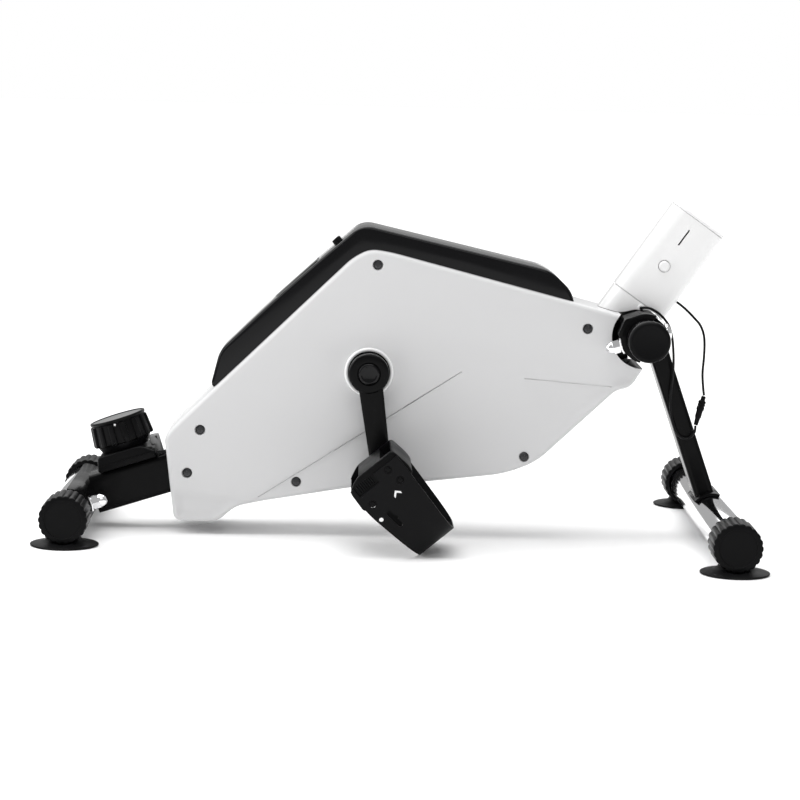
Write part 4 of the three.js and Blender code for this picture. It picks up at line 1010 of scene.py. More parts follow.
def blend_step(value: float, start: float, end: float) -> float:
    """A smooth rise from 0 at start to 1 at end."""
    t = min(1.0, max(0.0, (value - start) / (end - start)))
    return t * t * (3 - 2 * t)


def signed_distance(point: Point2, start: Point2, end: Point2) -> float:
    """Distance of a point from a line, positive below a line that runs towards +X."""
    run = Vector(end) - Vector(start)
    run.normalize()
    gap = Vector(point) - Vector(start)
    return gap.x * run.y - gap.y * run.x


@dataclass
class Casing:
    """The two glossy casing shells, with their sculpted sides, crank rings and screws."""

    shop: Workshop
    repeat: Repeater
    half: float = 50.0
    edge: float = 5.0
    split: float = 0.15
    grid: float = 4.0
    hollow: float = 44.0
    shoulder_share: float = 0.6

    def relief(self, x: float, z: float) -> float:
        """How far the side face sinks at a point, in millimetres."""
        fold = signed_distance((x, z), *FOLD_LINE)
        sink = 2.6 * blend_step(fold, -3.0, 26.0) * blend_step(x, -5.0, 75.0)
        crease = signed_distance((x, z), *CREASE_LINE)
        reach = 1 - blend_step(x, 40.0, 66.0)
        sink += 1.5 * blend_step(crease, -1.6, 2.4) * (1 - blend_step(crease, 10.0, 70.0)) * reach
        nose = signed_distance((x, z), *NOSE_LINE)
        reach = blend_step(x, 122.0, 160.0)
        sink += 1.9 * blend_step(nose, -1.6, 2.4) * (1 - blend_step(nose, 8.0, 45.0)) * reach
        skirt = signed_distance((x, z), *SKIRT_LINE)
        sink += 3.4 * blend_step(skirt, -1.5, 8.0) * (1 - blend_step(x, -150.0, -128.0))
        return sink

    def shell(self) -> Shape:
        """The outside of one shell as a solid, built for the right-hand side."""
        outline = dense_outline(rounded_outline(CASE_CORNERS, 10), self.grid)
        rounds = 6
        turn = [math.pi / 2 * k / rounds for k in range(rounds + 1)]
        stations = [(self.split, 0.0)]
        stations += [(self.half - self.edge * (1 - math.sin(a)), self.edge * (1 - math.cos(a))) for a in turn]
        rings = [inset_outline(outline, inset) for _, inset in stations]
        inner = rings[-1]
        count = len(inner)
        spots = self.face_spots(inner)
        joined = [Vector(p) for p in [*inner, *spots]]
        edges = [(i, (i + 1) % count) for i in range(count)]
        points, _, faces, origins, _, _ = delaunay_2d_cdt(joined, edges, [], 1, 1e-5)
        build = bmesh.new()
        loops = []
        for (y, _), ring in zip(stations, rings):
            loops.append([build.verts.new((x, -y, z)) for x, z in ring])
        for low, high in zip(loops, loops[1:]):
            for i in range(count):
                j = (i + 1) % count
                build.faces.new((low[i], low[j], high[j], high[i]))
        build.faces.new(list(reversed(loops[0])))
        made = []
        for point, origin in zip(points, origins):
            rim = next((k for k in origin if k < count), None)
            if rim is None:
                made.append(build.verts.new((point.x, -self.half, point.y)))
            else:
                made.append(loops[-1][rim])
        for face in faces:
            build.faces.new([made[k] for k in face])
        for loop, (_, inset) in zip(loops[1:], stations[1:]):
            for vert in loop:
                vert.co.y += self.relief(vert.co.x, vert.co.z) * inset / self.edge * self.shoulder_share
        for vert in made:
            if vert not in loops[-1]:
                vert.co.y += self.relief(vert.co.x, vert.co.z)
        bmesh.ops.recalc_face_normals(build, faces=build.faces)
        return Shape.from_bmesh(build)

    def face_spots(self, border: Loop) -> list[Point2]:
        """A grid of points inside the side face, clear of its border."""
        xs, zs = [p[0] for p in border], [p[1] for p in border]
        spots: list[Point2] = []
        step = self.grid
        keep = inset_outline(border, step * 0.7)
        x = min(xs)
        while x < max(xs):
            z = min(zs)
            while z < max(zs):
                if inside(x, z, keep):
                    spots.append((x, z))
                z += step
            x += step
        return spots

    def groove(self, start: Point2, end: Point2, floor: float) -> Shape:
        """A tapered cutter for one fine groove, whose floor is a distance from the middle plane."""
        run = Vector(end) - Vector(start)
        half = run.length / 2
        cutter = Shape.from_rings([[(sign_x * half, -y, sign_z * width) for sign_x, sign_z in
                                    ((-1, -1), (1, -1), (1, 1), (-1, 1))]
                                   for y, width in ((floor, 0.2), (floor + 1.0, 0.55), (52.0, 0.8))])
        middle = (Vector(start) + Vector(end)) / 2
        slant = math.degrees(math.atan2(run.y, run.x))
        return cutter.moved(Matrix.Translation((middle.x, 0, middle.y)) @ about_y(slant))

    def ring(self) -> Shape:
        """The raised ring round the crank, on the right-hand side."""
        profile = [(20.8, 46), (24.6, 46), (24.6, 54.6), (24.3, 56), (23.4, 56.9), (22.6, 57), (21.6, 56.7),
                   (20.9, 55.8), (20.8, 54.6), (20.8, 46)]
        build = bmesh.new()
        rings = []
        for k in range(FINE):
            a = 2 * math.pi * k / FINE
            rings.append([build.verts.new((r * math.cos(a), -y, r * math.sin(a))) for r, y in profile[:-1]])
        count = len(rings[0])
        for k in range(FINE):
            for i in range(count):
                j = (i + 1) % count
                build.faces.new((rings[k][i], rings[k][j], rings[(k + 1) % FINE][j],
                                 rings[(k + 1) % FINE][i]))
        bmesh.ops.recalc_face_normals(build, faces=build.faces)
        return Shape.from_bmesh(build).shifted(x=CRANK_AXIS.x, z=CRANK_AXIS.z)

    def build(self) -> None:
        """Makes both shells and the screws."""
        for side in Side:
            inner = rounded_outline(CASE_CORNERS, 6)
            room = slab(inset_outline(inner, 3.2), -self.hollow, self.split + 1)
            shape = self.shell().cut(
                room,
                rod("Y", (CRANK_AXIS.x, CRANK_AXIS.z), 21.5, -60, 5, sides=FINE),
                rod("Y", (CROSS_AXIS.x, CROSS_AXIS.z), 32.5, -60, 5, sides=FINE),
                spine_shape(block((10, 140), (-27, 27), (-20.8, 31))),
                spine_shape(block((540, 600), (-20.8, 20.8), (-20.8, 20.8))),
            )
            shape = shape.cut(*[self.groove(*line) for line in GROOVES])
            if side is Side.RIGHT:
                wells = [lathe([(0, 46.4), (5.2, 46.4), (5.2, 49.2), (6.1, 50.3), (6.1, 53), (0, 53)], MEDIUM)
                         .moved(Matrix.Rotation(math.pi, 4, "X")).shifted(x=x, z=z) for x, z in SCREW_SPOTS]
                shape = shape.cut(*wells)
            self.shop.piece(f"crank_ring_{side.label}", self.ring().mirrored(side), WHITE_ENAMEL, Body.STAND)
            name = f"casing_shell_{side.label}"
            self.shop.piece(f"{name}_gloss", shape.mirrored(side), WHITE_SHELL, Body.STAND, [name], crease=32)
        self.screws()

    def screws(self) -> None:
        """Makes the six cross-recessed screws in their wells."""
        profile = [(0, 44), (4.6, 44), (4.6, 47.6), (4.2, 48.4), (3.2, 48.9), (1.6, 49.1), (0, 49.1)]
        head = lathe(profile, MEDIUM).moved(Matrix.Rotation(math.pi, 4, "X"))
        slots = [block((-2.6, 2.6), (-60, -47.6), (-0.5, 0.5)), block((-0.5, 0.5), (-60, -47.6), (-2.6, 2.6))]
        head = head.cut(*slots)
        copies = self.repeat.on_points(head, [(x, 0, z) for x, z in SCREW_SPOTS], SCREW_BLACK)
        nodes = [f"casing_screw_{k + 1}" for k in range(len(SCREW_SPOTS))]
        self.shop.piece("casing_screws", copies, SCREW_BLACK, Body.STAND, nodes)


def inside(x: float, z: float, outline: Loop) -> bool:
    """Whether a point lies inside a closed outline."""
    hit = False
    for (x0, z0), (x1, z1) in zip(outline, [*outline[1:], outline[0]]):
        if (z0 > z) != (z1 > z) and x < (x1 - x0) * (z - z0) / (z1 - z0) + x0:
            hit = not hit
    return hit


# ---------------------------------------------------------------- console
@dataclass
class Console:
    """The gloss black cover on the casing, with its smoked window and its button."""

    shop: Workshop
    half: float = 42.0
    edge: float = 3.4
    slope: float = 42.8
    corners: tuple = (
        (-187, 150, 4.5), (-177, 144, 4.5), (-20, 250, 8), (178.5, 232, 13), (172, 253, 7.5),
        (151.1, 272.8, 12),
        (-38, 314.6, 12), (-110, 252, 60), (-178.6, 184.5, 8),
    )

    def on_slope(self, shape: Shape, x: float, z: float) -> Shape:
        """Stands a shape on the rider's slope at a point."""
        return shape.moved(Matrix.Translation((x, 0, z)) @ about_y(self.slope))

    def build(self) -> None:
        """Makes the cover, the window and the button."""
        outline = dense_outline(rounded_outline(self.corners, 10), 12)
        outer = slab(outline, -self.half, self.half, self.edge, 6)
        inner = slab(inset_outline(rounded_outline(self.corners, 5), 2.4), -self.half + 2.4, self.half - 2.4)
        case = inset_outline(rounded_outline(CASE_CORNERS, 8), -0.35)
        seat = slab(case, -60, 60)
        button_hole = self.on_slope(rod("Z", (0, 0), 5.3, -30, 30), -61.5, 293.5)
        window = block((-28, 28), (-23, 23), (-1.6, 20), 0.0)
        window = self.on_slope(window, -103, 257.6)
        shape = outer.cut(inner, seat, button_hole, window)
        self.shop.piece("console_cover_gloss", shape, PIANO_BLACK, Body.STAND, ["console_cover"])
        lens = slab(rounded_outline([(-27.7, -1.3), (27.7, -1.3), (27.7, 0.6), (-27.7, 0.6)]), -22.7, 22.7,
                    0.4, 2)
        self.shop.piece("console_window", self.on_slope(lens, -103, 257.6), SMOKED_LENS, Body.STAND,
                        ["console_lens"])
        profile = [(0, -5.2), (7.2, -5.2), (7.2, -3.4), (5, -3.4), (5, 4.2), (4.8, 4.9), (4.2, 5.4), (3, 5.5),
                   (0, 5.2)]
        button = self.on_slope(lathe(profile, MEDIUM, "Z"), -61.5, 293.5)
        self.shop.piece("console_button_cap", button, MOULDED_BLACK, Body.CONSOLE_KEY, ["console_button"])


# ---------------------------------------------------------------- cranks, pedals and straps
@dataclass
class Crank:
    """One crank with its hub and its cap."""

    shop: Workshop
    side: Side
    length: float = 98.0
    angle: float = 8.5
    hub: float = 20.0
    inner: float = 60.0
    outer: float = 74.0

    def place(self) -> Matrix:
        """The crank's own axes, with the arm straight down, in the object's axes."""
        turn = self.angle if self.side is Side.RIGHT else self.angle - 180
        return Matrix.Translation((CRANK_AXIS.x, 0, CRANK_AXIS.z)) @ about_y(turn)

    def finish(self, name: str, shape: Shape, finish: Finish, node: str) -> None:
        """Mirrors a right-hand shape if needed and makes it a piece of the crankset."""
        whole = shape.mirrored(self.side).moved(self.place())
        self.shop.piece(f"{name}_{self.side.label}", whole, finish, Body.CRANKSET,
                        [f"{node}_{self.side.label}"])

    def build(self) -> None:
        """Makes the arm and its cap."""
        foot = -self.length
        outline = [(-12.5, 0), (-10, foot), (10, foot), (12.5, 0)]
        arm = slab(dense_outline(outline, 20), -self.outer + 1, -self.inner, 3.0, 5)
        hub = rod("Y", (0, 0), self.hub, -self.outer, -53, 2.2, FINE)
        eye = rod("Y", (0, foot), 12.5, -self.outer, -self.inner, 2.6, FINE)
        shape = hub.join(arm, eye).cut(
            rod("Y", (0, 0), 8.8, -69.8, -40),
            lathe([(0, 60), (10.9, 60), (10.9, 73.2), (12.2, 74.5), (12.2, 80), (0, 80)], FINE)
            .moved(Matrix.Rotation(math.pi, 4, "X")).cut(rod("Y", (0, 0), 30, -71, -50)),
            rod("Y", (0, foot), 7, -80, -40),
        )
        self.finish("crank_arm", shape, SATIN_BLACK, "crank")
        profile = [(0, 0), (10.5, 0), (10.5, 2.6), (10.2, 3.3), (9.5, 3.7), (8.6, 3.9), (7.9, 3.8),
                   (7.3, 3.5),
                   (6.8, 3.4), (0, 3.6)]
        cap = lathe(profile, FINE).moved(Matrix.Rotation(math.pi, 4, "X")).shifted(y=-71.3)
        self.finish("crank_cap_disc", cap, PIANO_BLACK, "crank_cap")


@dataclass
class Pedal:
    """One moulded pedal with its spindle and its rubber foot strap."""

    shop: Workshop
    repeat: Repeater
    side: Side
    half: float = 43.0
    inner: float = 79.0
    tilt: float = 40.0
    floor: float = -10.0
    ceiling: float = 20.6
    strap_thick: float = 2.6
    strap_drop: float = 80.0
    pegs: tuple = ((14, 8.5), (17, -6.4), (-18.5, -8.5))

    @property
    def body(self) -> Body:
        """The CAD body of the pedal."""
        return Body.RIGHT_PEDAL if self.side is Side.RIGHT else Body.LEFT_PEDAL

    def place(self) -> Matrix:
        """The pedal's own axes in the object's axes, with the crank on its +Y side."""
        centre = node_centre(f"pedal_spindle_{self.side.label}")
        flip = Matrix.Identity(4) if self.side is Side.RIGHT else Matrix.Scale(-1, 4, (0, 1, 0))
        shift = Matrix.Translation((0, -self.inner - self.half, 0))
        return Matrix.Translation((centre.x, 0, centre.z)) @ about_y(self.tilt) @ flip @ shift

    def finish(self, name: str, shape: Shape, finish: Finish, body: Body, nodes: Sequence[str]) -> None:
        """Makes a piece from a shape in pedal axes."""
        self.shop.piece(f"{name}_{self.side.label}", shape.moved(self.place()), finish, body,
                        [f"{node}_{self.side.label}" for node in nodes])

    def spindle(self) -> None:
        """Makes the spindle with its flange."""
        shape = rod("Y", (0, 0), 6.7, -self.half + 14, self.half + self.inner - 60, 0.8)
        shape = shape.join(rod("Y", (0, 0), 9, self.half + 1, self.half + 4.4, 0.6))
        self.finish("pedal_spindle_turned", shape, STEEL, Body.CRANKSET, ["pedal_spindle"])

    def moulding(self) -> None:
        """Makes the pedal's moulded body, with its pockets, grips, face ribs and strap pegs."""
        corners = [(-30, self.floor, 4), (31, self.floor, 5), (32, 0, 4.5), (28.6, self.ceiling, 4),
                   (-14.8, self.ceiling, 4), (-29, 14, 5)]
        body = slab(dense_outline(rounded_outline(corners, 8), 20), -self.half, self.half, 1.8, 4)
        grips = [rod("Y", (-17 + 11.4 * k, self.floor - 0.9), 1.6, -38, 38, 0.8, SMALL) for k in range(4)]
        pegs = [rod("Y", at, 3, *sorted((0, end * (self.half + 3.6))), 0.8, SMALL) for at in self.pegs
                for end in (-1, 1)]
        pockets = [block((-26.5, -13), (-36, 36), (-7, 30), 1.5),
                   block((13.5, 26.5), (-36, 36), (-7, 30), 1.5)]
        bore = rod("Y", (0, 0), 7.1, -self.half + 12, self.half + 10)
        shape = body.join(*grips, *pegs).cut(*pockets, bore)
        pitch, first = 2.3, -20.4
        rib = rod("Z", (0, 0), 0.75, 6, 15, 0.6, SMALL)
        spots = [(first + pitch * k, -self.half - 0.25, 0) for k in range(8)]
        ribs = self.repeat.on_points(rib, spots, MOULDED_BLACK)
        self.finish("pedal_moulding", heap(shape, ribs), MOULDED_BLACK, self.body, ["pedal"])

    def band(self, reach: float, drop: float, corner: float) -> Shape:
        """A solid U-shaped block in Y and Z, drawn out along X."""
        steps = 16
        outline = [(-reach, 30.0)]
        for k in range(steps + 1):
            t = k / steps
            outline.append((-reach + corner * t * t, -drop + corner * (1 - t) ** 2))
        outline += [(-y, z) for y, z in reversed(outline)]
        rings = [[(x, y, z) for y, z in outline] for x in (-45, 45)]
        return Shape.from_rings(rings)

    def strap(self) -> None:
        """Makes the rubber strap, with its peg holes, sizing holes and slot."""
        low = self.half + GAP
        high = low + self.strap_thick
        loop = self.band(high, self.strap_drop, 34).cut(
            self.band(low, self.strap_drop - self.strap_thick, 31.6).shifted(z=0.0)
            .join(block((-50, 50), (-low, low), (0, 60))))
        corners = [(-28, 30), (-28, -14, 12), (-15, -82, 4), (26, -82, 4), (29, -6, 12), (29, 30)]
        side = slab(dense_outline(rounded_outline(corners, 8), 6), -60, 60)
        holes = [rod("Y", at, 3.5, -60, 60, sides=SMALL) for at in self.pegs]
        holes += [rod("Y", (-21.5, -25.5), 2.2, -60, 0, sides=SMALL),
                  rod("Y", (-9.5, -32.5), 2.6, -60, 0, sides=SMALL)]
        slot = rounded_outline([(-12, -43, 2), (-7.5, -42, 2), (-9.5, -22.5, 2), (-14.5, -24, 2)], 4)
        notch = rod("Y", (0, 0), 10.5, 0, 60).join(block((-10.5, 10.5), (0, 60), (0, 60)))
        top = block((-50, 50), (-60, 60), (14, 40))
        window = block((-24, 0), (-60, 0), (4.5, 40))
        shape = loop.common(side).cut(*holes, slab(slot, -60, 0), notch, top, window)
        self.finish("pedal_strap_rubber", shape, RUBBER, self.body, ["pedal_strap"])

    def marking(self) -> None:
        """Makes a plain chevron, raised on the strap's outer face."""
        face = -self.half - GAP - self.strap_thick
        chevron = [(-4, -3), (0, 0.6), (4, -3), (4, -0.6), (0, 3.2), (-4, -0.6)]
        shape = slab(chevron, face - 0.12, face + 0.3).moved(Matrix.Translation((6.5, 0, -14.5)))
        self.finish("strap_chevron", shape, MARKING, self.body, [])

    def build(self) -> None:
        """Makes the spindle, the pedal and the strap."""
        self.spindle()
        self.moulding()
        self.strap()
        self.marking()


# ---------------------------------------------------------------- tension knob
@dataclass
class TensionControl:
    """The tension knob, its housing on the spine and the cable clip behind it."""

    shop: Workshop
    repeat: Repeater
    along: float = 63.0
    base: float = 43.0
    radius: float = 31.5
    top_radius: float = 29.2
    height: float = 25.5
    grips: int = 14

    def housing(self) -> None:
        """Makes the sloped housing with the cone under the knob."""
        low = 20.3
        outline = rounded_outline([(31, low, 4), (92.5, low, 2.5), (92.5, 27, 2.5), (80, 36, 6), (35, 36, 4)],
                                  6)
        body = slab(dense_outline(outline, 20), -30, 30, 2.0, 4)
        cone = lathe([(0, 0), (24, 0), (27.5, 7.2), (0, 7.2)], FINE, "Z").shifted(x=self.along, z=35.5)
        groove = block((20, 100), (-31, -29.6), (26.6, 27.4)).join(block((20, 100), (29.6, 31), (26.6, 27.4)))
        shape = body.cut(groove).join(cone).cut(rod("Z", (self.along, 0), 5.4, 28, 60))
        self.shop.piece("knob_housing_moulded", spine_shape(shape), MOULDED_BLACK, Body.STAND,
                        ["knob_housing"])

    def knob(self) -> None:
        """Makes the knob: a tapered drum with grips, a raised rim, a dished top and an index dot."""
        r, top, h = self.radius - 2.2, self.top_radius - 0.4, self.height
        profile = [
            (0, 0), (r - 3, 0), (r - 0.6, 0.8), (r, 2.4), (top - 1.6, h - 4.2), (top - 0.4, h - 3.0),
            (top, h - 1.4), (top - 0.5, h - 0.3), (top - 1.3, h), (top - 2.2, h), (top - 2.9, h - 0.5),
            (top - 3.3, h - 1.5), (top - 4.2, h - 2.0), (12, h - 2.6), (0, h - 2.8),
        ]
        drum = lathe(profile, FINE, "Z").join(rod("Z", (0, 0), 5, -14, 1, 0.5))
        lean = math.degrees(math.atan2(self.radius - self.top_radius, self.height))
        section = rounded_outline([(-1.6, -3.5, 1), (2.1, -3.0, 1.5), (2.1, 3.0, 1.5), (-1.6, 3.5, 1)], 4)
        grip = Shape.from_rings([[(x * s, y * s, z) for x, y in section]
                                 for z, s in ((0.4, 0.8), (1.3, 1.0), (19.6, 0.9), (21.0, 0.7))])
        grip = grip.moved(about_y(lean))
        ring = self.repeat.on_ring(grip, self.grips, r + 0.05, MOULDED_BLACK)
        place = SPINE @ Matrix.Translation((self.along, 0, self.base))
        self.shop.piece("tension_knob_gripped", heap(drum, ring).moved(place), MOULDED_BLACK, Body.KNOB,
                        ["tension_knob"])
        dish = lathe([(0, h - 3.1), (top - 2.8, h - 2.4), (top - 2.8, h - 0.6), (12, h - 0.8), (0, h - 0.9)],
                     FINE, "Z")
        self.shop.piece("knob_top_disc", dish.moved(place), SMOKED_LENS, Body.KNOB)
        dot = lathe([(0, -0.3), (1.1, -0.3), (1.1, 0.2), (0.8, 0.35), (0, 0.4)], SMALL, "Z")
        spot = Matrix.Translation((top - 1.1, 0, h - 5.2)) @ about_y(-84)
        dot = dot.moved(place @ Matrix.Rotation(math.radians(-93), 4, "Z") @ spot)
        self.shop.piece("knob_index_dot", dot, MARKING, Body.KNOB)

    def clip(self) -> None:
        """Makes the pale clip that leads the brake cable into the casing."""
        post = block((93.2, 99.4), (-14, -4), (20.5, 41.5), 2.0)
        shape = post.join(block((89, 99.4), (-14, -4), (30.6, 41.5), 2.0))
        self.shop.piece("cable_clip", spine_shape(shape), PALE_TAB, Body.STAND)

    def build(self) -> None:
        """Makes the housing, the knob and the clip."""
        self.housing()
        self.knob()
        self.clip()


# ---------------------------------------------------------------- mast
@dataclass
class Mast:
    """The stub of the white mast, on its moulded neck, with its height button."""

    shop: Workshop
    width: float = 62.0
    depth: float = 44.0
    corner: float = 15.0
    wall: float = 2.5
    length: float = 100.0
    button: Point2 = (-2.4, 43.6)

    def section(self, inset: float) -> list[Point2]:
        """The mast's rounded section in its own X and Y, shrunk by an inset."""
        w, d, r = self.width / 2 - inset, self.depth / 2 - inset, self.corner - inset
        outline: list[Point2] = []
        centres = ((w - r, d - r), (-w + r, d - r), (-w + r, -d + r), (w - r, -d + r))
        for quarter, (cx, cy) in enumerate(centres):
            for k in range(13):
                a = math.pi / 2 * (quarter + k / 12)
                outline.append((cx + r * math.cos(a), cy + r * math.sin(a)))
        return outline

    def column(self, inset: float, low: float, high: float, edge: float = 0.0) -> Shape:
        """The mast's section drawn out along its length, with rounded ends if asked."""
        stations = [(low, 0.0), (high, 0.0)]
        if edge:
            turn = [math.pi / 2 * k / 4 for k in range(5)]
            ends = [(low + edge * (1 - math.sin(a)), edge * (1 - math.cos(a))) for a in reversed(turn)]
            stations = [*ends, *[(low + high - z, s) for z, s in reversed(ends)]]
        return Shape.from_rings([[(x, y, z) for x, y in self.section(inset + s)] for z, s in stations])

    def neck(self) -> None:
        """Makes the neck that fills the wedge between the saddle, the casing and the mast."""
        chassis = Chassis(self.shop)
        wedge = slab([(-40, -30), (-12, -46), (40, -20), (40, 1), (-40, 1)], -22, 22)
        block_ = self.column(0.5, -60, 0).common(wedge)
        spigot = self.column(self.wall + GAP, -2, 14)
        back = MAST.inverted()
        saddle = chassis.front_form(80, GAP).moved(back @ SPINE)
        case = slab(inset_outline(rounded_outline(CASE_CORNERS, 8), -0.5), -60, 60).moved(back)
        tube = rod("Y", (CROSS_AXIS.x, CROSS_AXIS.z), 25.2, -80, 80, sides=FINE).moved(back)
        outlet = lathe([(0, 18), (3.6, 18), (3.6, 22.6), (3.2, 23.1), (2.6, 23.2), (0, 23.2)], MEDIUM)
        outlet = outlet.moved(Matrix.Rotation(math.pi, 4, "X")).shifted(x=4, z=-4)
        shape = block_.join(spigot, outlet).cut(saddle, case, tube, self.column(self.wall + 5, -8, 20),
                                                rod("Y", (4, -4), LEAD_HOLE, -30, -10, sides=SMALL))
        self.shop.piece("mast_neck_moulded", shape.moved(MAST), WHITE_ENAMEL, Body.STAND, ["mast_neck"])

    def tube(self) -> None:
        """Makes the mast tube with its button hole, height slit and lipped lead outlet."""
        x, z = self.button
        lip = lathe([(0, 30), (4.4, 30), (4.4, 31.5), (4.0, 32.1), (3.4, 32.2), (0, 32.2)], MEDIUM,
                    "X").shifted(z=22)
        shape = self.column(0, 0.6, self.length, 0.8)
        shape = shape.cut(self.column(self.wall, -1, self.length + 1)).join(lip)
        shape = shape.cut(rod("Y", (x, z), 6.2, -40, 0), block((-4.3, -2.7), (-40, -10), (69, 87.5)),
                          rod("X", (0, 22), LEAD_HOLE, 0, 60, sides=SMALL))
        self.shop.piece("mast_tube_gloss", shape.moved(MAST), WHITE_ENAMEL, Body.STAND, ["mast_tube"])

    def plug(self) -> None:
        """Makes the plug that closes the stub."""
        shape = self.column(0.4, self.length + GAP, self.length + 3, 1.0).join(
            self.column(self.wall + GAP, self.length - 10, self.length + 1))
        self.shop.piece("mast_plug_moulded", shape.moved(MAST), WHITE_ENAMEL, Body.STAND, ["mast_plug"])

    def detent(self) -> None:
        """Makes the spring button of the mast."""
        x, z = self.button
        profile = [(0, 16), (7.3, 16), (7.3, 19.1), (5.5, 19.1), (5.5, 24.2), (5.1, 25.2), (4.2, 25.8),
                   (2.4, 26),
                   (0, 26)]
        shape = lathe(profile, MEDIUM).moved(Matrix.Rotation(math.pi, 4, "X")).shifted(x=x, z=z)
        self.shop.piece("mast_button_cap", shape.moved(MAST), WHITE_ENAMEL, Body.MAST_KEY, ["mast_button"])

    def build(self) -> None:
        """Makes the neck, the tube, its plug and its button."""
        self.neck()
        self.tube()
        self.plug()
        self.detent()


# ---------------------------------------------------------------- sensor lead
LEAD_HOLE = 1.9


@dataclass
class SensorLead:
    """The sensor lead in two lengths, joined by a plug and socket."""

    shop: Workshop
    radius: float = 1.25
    upper: tuple = (
        (281.7, 0, 241.4), (285, 0, 239.2), (291.5, -1.5, 234.2), (301, -4, 225), (307, -7, 218),
        (310.4, -10, 209),
        (311.2, -13, 200), (310.6, -17, 186), (309.4, -20, 170), (310.2, -23, 156), (311.2, -24, 148.3),
    )
    lower: tuple = (
        (303.4, -26, 117.6), (302.6, -26.5, 111), (297, -26.5, 104.6), (290.5, -26.5, 104.6),
        (284.6, -26.5, 110),
        (281, -26, 118), (278, -26, 131), (277, -26, 143), (277.5, -26.5, 156), (278.6, -27.5, 170),
        (278.6, -29, 182), (277.5, -31, 196), (275.5, -32.5, 209), (271, -33.5, 221), (262, -33, 231),
        (253, -31.5, 236), (247, -28.5, 236.5), (244.7, -24.5, 235.4), (244.7, -21.5, 235.4),
    )

    def run(self, name: str, points: Sequence[Point3], node: str) -> bpy.types.Object:
        """Makes one length of lead as a mesh tube."""
        shape = swept(points, self.radius)
        return self.shop.piece(name, shape, LEAD_JACKET, Body.STAND, [node])

    def connector(self) -> bpy.types.Object:
        """Makes the plug and socket: two ribbed barrels pushed together."""
        start, end = Vector(self.upper[-1]), Vector(self.lower[0])
        run = end - start
        length = run.length - 4 * GAP
        profile = [(0, 0), (1.9, 0), (2.3, 1), (2.4, 4.6), (3.3, 5), (3.8, 5.7), (3.9, 7), (3.5, 7.4),
                   (3.5, 8.2),
                   (3.9, 8.6), (3.9, 9.8), (3.5, 10.2), (3.5, 11), (3.9, 11.4), (3.9, 14.3), (3.2, 15.1),
                   (3.2, length - 9), (2.6, length - 7), (2.3, length - 3), (2.1, length), (0, length)]
        shape = lathe(profile, MEDIUM, "Z")
        turn = run.to_track_quat("Z", "Y").to_matrix().to_4x4()
        place = Matrix.Translation(start + run.normalized() * 2 * GAP) @ turn
        return self.shop.piece("lead_connector_moulded", shape.moved(place), MOULDED_BLACK, Body.STAND,
                               ["lead_connector"])

    def build(self) -> None:
        upper = self.run("sensor_lead_top", self.upper, "sensor_lead_upper")
        lower = self.run("sensor_lead_bottom", self.lower, "sensor_lead_lower")
        joint = self.connector()


# ---------------------------------------------------------------- what stays from the CAD
KEPT_NODES: dict[str, Finish] = {
    "leg_bolt_right": STEEL, "leg_bolt_left": STEEL, "crank_axle": STEEL, "crank_bearing_right": STEEL,
    "crank_bearing_left": STEEL, "flywheel_axle": STEEL, "magnet_carrier": STEEL, "flywheel": IRON,
    "drive_pulley": MOULDED_BLACK, "drive_belt": RUBBER, "brake_cable": LEAD_JACKET,
}


# ---------------------------------------------------------------- stage
@dataclass(frozen=True)
class SoftBox:
    """One rectangular soft box, with its size, its place and the point it faces in metres."""

    name: str
    power: float
    size: tuple[float, float]
    place: Point3
    target: Point3


SOFT_BOXES = (
    SoftBox("left_box", power=34, size=(1.4, 2.2), place=(-2.5, -0.5, 1.5), target=(0, 0, 0.15)),
    SoftBox("front_box", power=18, size=(2.2, 1.0), place=(0.6, -3.2, 2.8), target=(0, 0, 0.15)),
    SoftBox("back_box", power=26, size=(4.0, 1.6), place=(0.0, 3.2, 1.9), target=(0, 0, 0.2)),
)


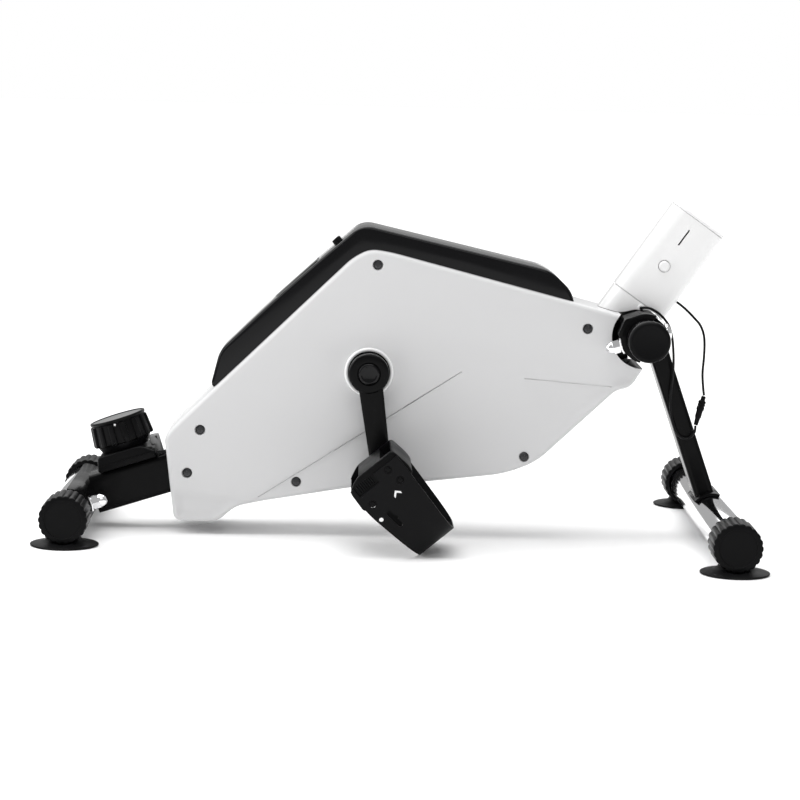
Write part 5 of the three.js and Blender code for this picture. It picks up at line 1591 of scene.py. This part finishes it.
@dataclass
class Stage:
    """The floor, the lights and the camera."""

    focal: float = 123.33
    sensor: float = 36.0
    location: Point3 = (-0.04475, -2.7737, 0.46976)
    pitch: float = 6.898
    yaw: float = 1.008
    roll: float = 1.357
    far: float = 50.0
    floor_size: float = 30.0
    floor_drop: float = 0.0005
    floor_grey: float = 0.93
    ambient: float = 0.4
    backdrop: float = 1.0
    sky_strength: float = 2.9
    sky_spread: float = 70.0
    sky_tilt: tuple[float, float] = (-8.0, -6.0)

    def camera(self) -> None:
        """Makes the camera."""
        p, w, r = (math.radians(v) for v in (self.pitch, self.yaw, self.roll))
        ahead = Vector((math.sin(w) * math.cos(p), math.cos(w) * math.cos(p), -math.sin(p)))
        right = Vector((math.cos(w), -math.sin(w), 0))
        up = right.cross(ahead)
        across = right * math.cos(r) + up * math.sin(r)
        above = -right * math.sin(r) + up * math.cos(r)
        data = bpy.data.cameras.new("camera")
        data.lens = self.focal
        data.sensor_width = self.sensor
        data.clip_end = self.far
        item = bpy.data.objects.new("camera", data)
        item.matrix_world = Matrix.Translation(self.location) @ Matrix((
            (across.x, above.x, -ahead.x, 0), (across.y, above.y, -ahead.y, 0),
            (across.z, above.z, -ahead.z, 0),
            (0, 0, 0, 1)))
        bpy.context.collection.objects.link(item)
        bpy.context.scene.camera = item

    def floor(self) -> None:
        """Makes the pale floor."""
        build = bmesh.new()
        bmesh.ops.create_grid(build, x_segments=1, y_segments=1, size=self.floor_size)
        mesh = bpy.data.meshes.new("floor")
        build.to_mesh(mesh)
        build.free()
        item = bpy.data.objects.new("floor", mesh)
        item.location.z = -self.floor_drop
        bpy.context.collection.objects.link(item)
        material = bpy.data.materials.new("pale_floor")
        material.use_nodes = True
        shader = material.node_tree.nodes["Principled BSDF"]
        shader.inputs["Base Color"].default_value = (self.floor_grey, self.floor_grey, self.floor_grey, 1)
        shader.inputs["Roughness"].default_value = 0.9
        mesh.materials.append(material)

    def lamp(self, box: SoftBox) -> None:
        """Makes one soft box that faces its target."""
        data = bpy.data.lights.new(box.name, "AREA")
        data.shape = "RECTANGLE"
        data.size, data.size_y = box.size
        data.energy = box.power
        item = bpy.data.objects.new(box.name, data)
        item.location = box.place
        run = Vector(box.target) - Vector(box.place)
        item.rotation_euler = run.to_track_quat("-Z", "Y").to_euler()
        bpy.context.collection.objects.link(item)

    def world(self) -> None:
        """Makes the ambient light, with a white backdrop for the camera."""
        world = bpy.data.worlds.new("studio")
        world.use_nodes = True
        tree = world.node_tree
        ambient = tree.nodes["Background"]
        ambient.inputs["Color"].default_value = (1, 1, 1, 1)
        ambient.inputs["Strength"].default_value = self.ambient
        backdrop = tree.nodes.new("ShaderNodeBackground")
        backdrop.inputs["Color"].default_value = (1, 1, 1, 1)
        backdrop.inputs["Strength"].default_value = self.backdrop
        path = tree.nodes.new("ShaderNodeLightPath")
        mix = tree.nodes.new("ShaderNodeMixShader")
        tree.links.new(path.outputs["Is Camera Ray"], mix.inputs["Fac"])
        tree.links.new(ambient.outputs["Background"], mix.inputs[1])
        tree.links.new(backdrop.outputs["Background"], mix.inputs[2])
        tree.links.new(mix.outputs["Shader"], tree.nodes["World Output"].inputs["Surface"])
        bpy.context.scene.world = world

    def lights(self) -> None:
        """Makes the overhead sky panel and the soft boxes."""
        sun = bpy.data.lights.new("sky_panel", "SUN")
        sun.energy = self.sky_strength
        sun.angle = math.radians(self.sky_spread)
        item = bpy.data.objects.new("sky_panel", sun)
        item.rotation_euler = (*(math.radians(tilt) for tilt in self.sky_tilt), 0)
        bpy.context.collection.objects.link(item)
        for box in SOFT_BOXES:
            self.lamp(box)

    def build(self) -> None:
        """Makes the camera, the floor, the backdrop and the lights."""
        self.camera()
        self.floor()
        self.world()
        self.lights()
        bpy.context.scene.view_settings.view_transform = "Standard"


def main() -> None:
    """Builds the whole model, sub-assembly by sub-assembly."""
    logging.basicConfig(level=logging.INFO, format="%(name)s: %(message)s")
    Stage().build()
    shop = Workshop()
    repeat = Repeater(shop)
    SensorLead(shop).build()
    Stabiliser(shop, repeat, "rear", REAR_AXIS).build()
    Stabiliser(shop, repeat, "front", FRONT_AXIS).build()
    Chassis(shop).build()
    Casing(shop, repeat).build()
    Console(shop).build()
    for side in Side:
        Crank(shop, side).build()
        Pedal(shop, repeat, side).build()
    TensionControl(shop, repeat).build()
    Mast(shop).build()
    for node, finish in KEPT_NODES.items():
        shop.dress_node(node, finish)


if __name__ == "__main__":
    main()
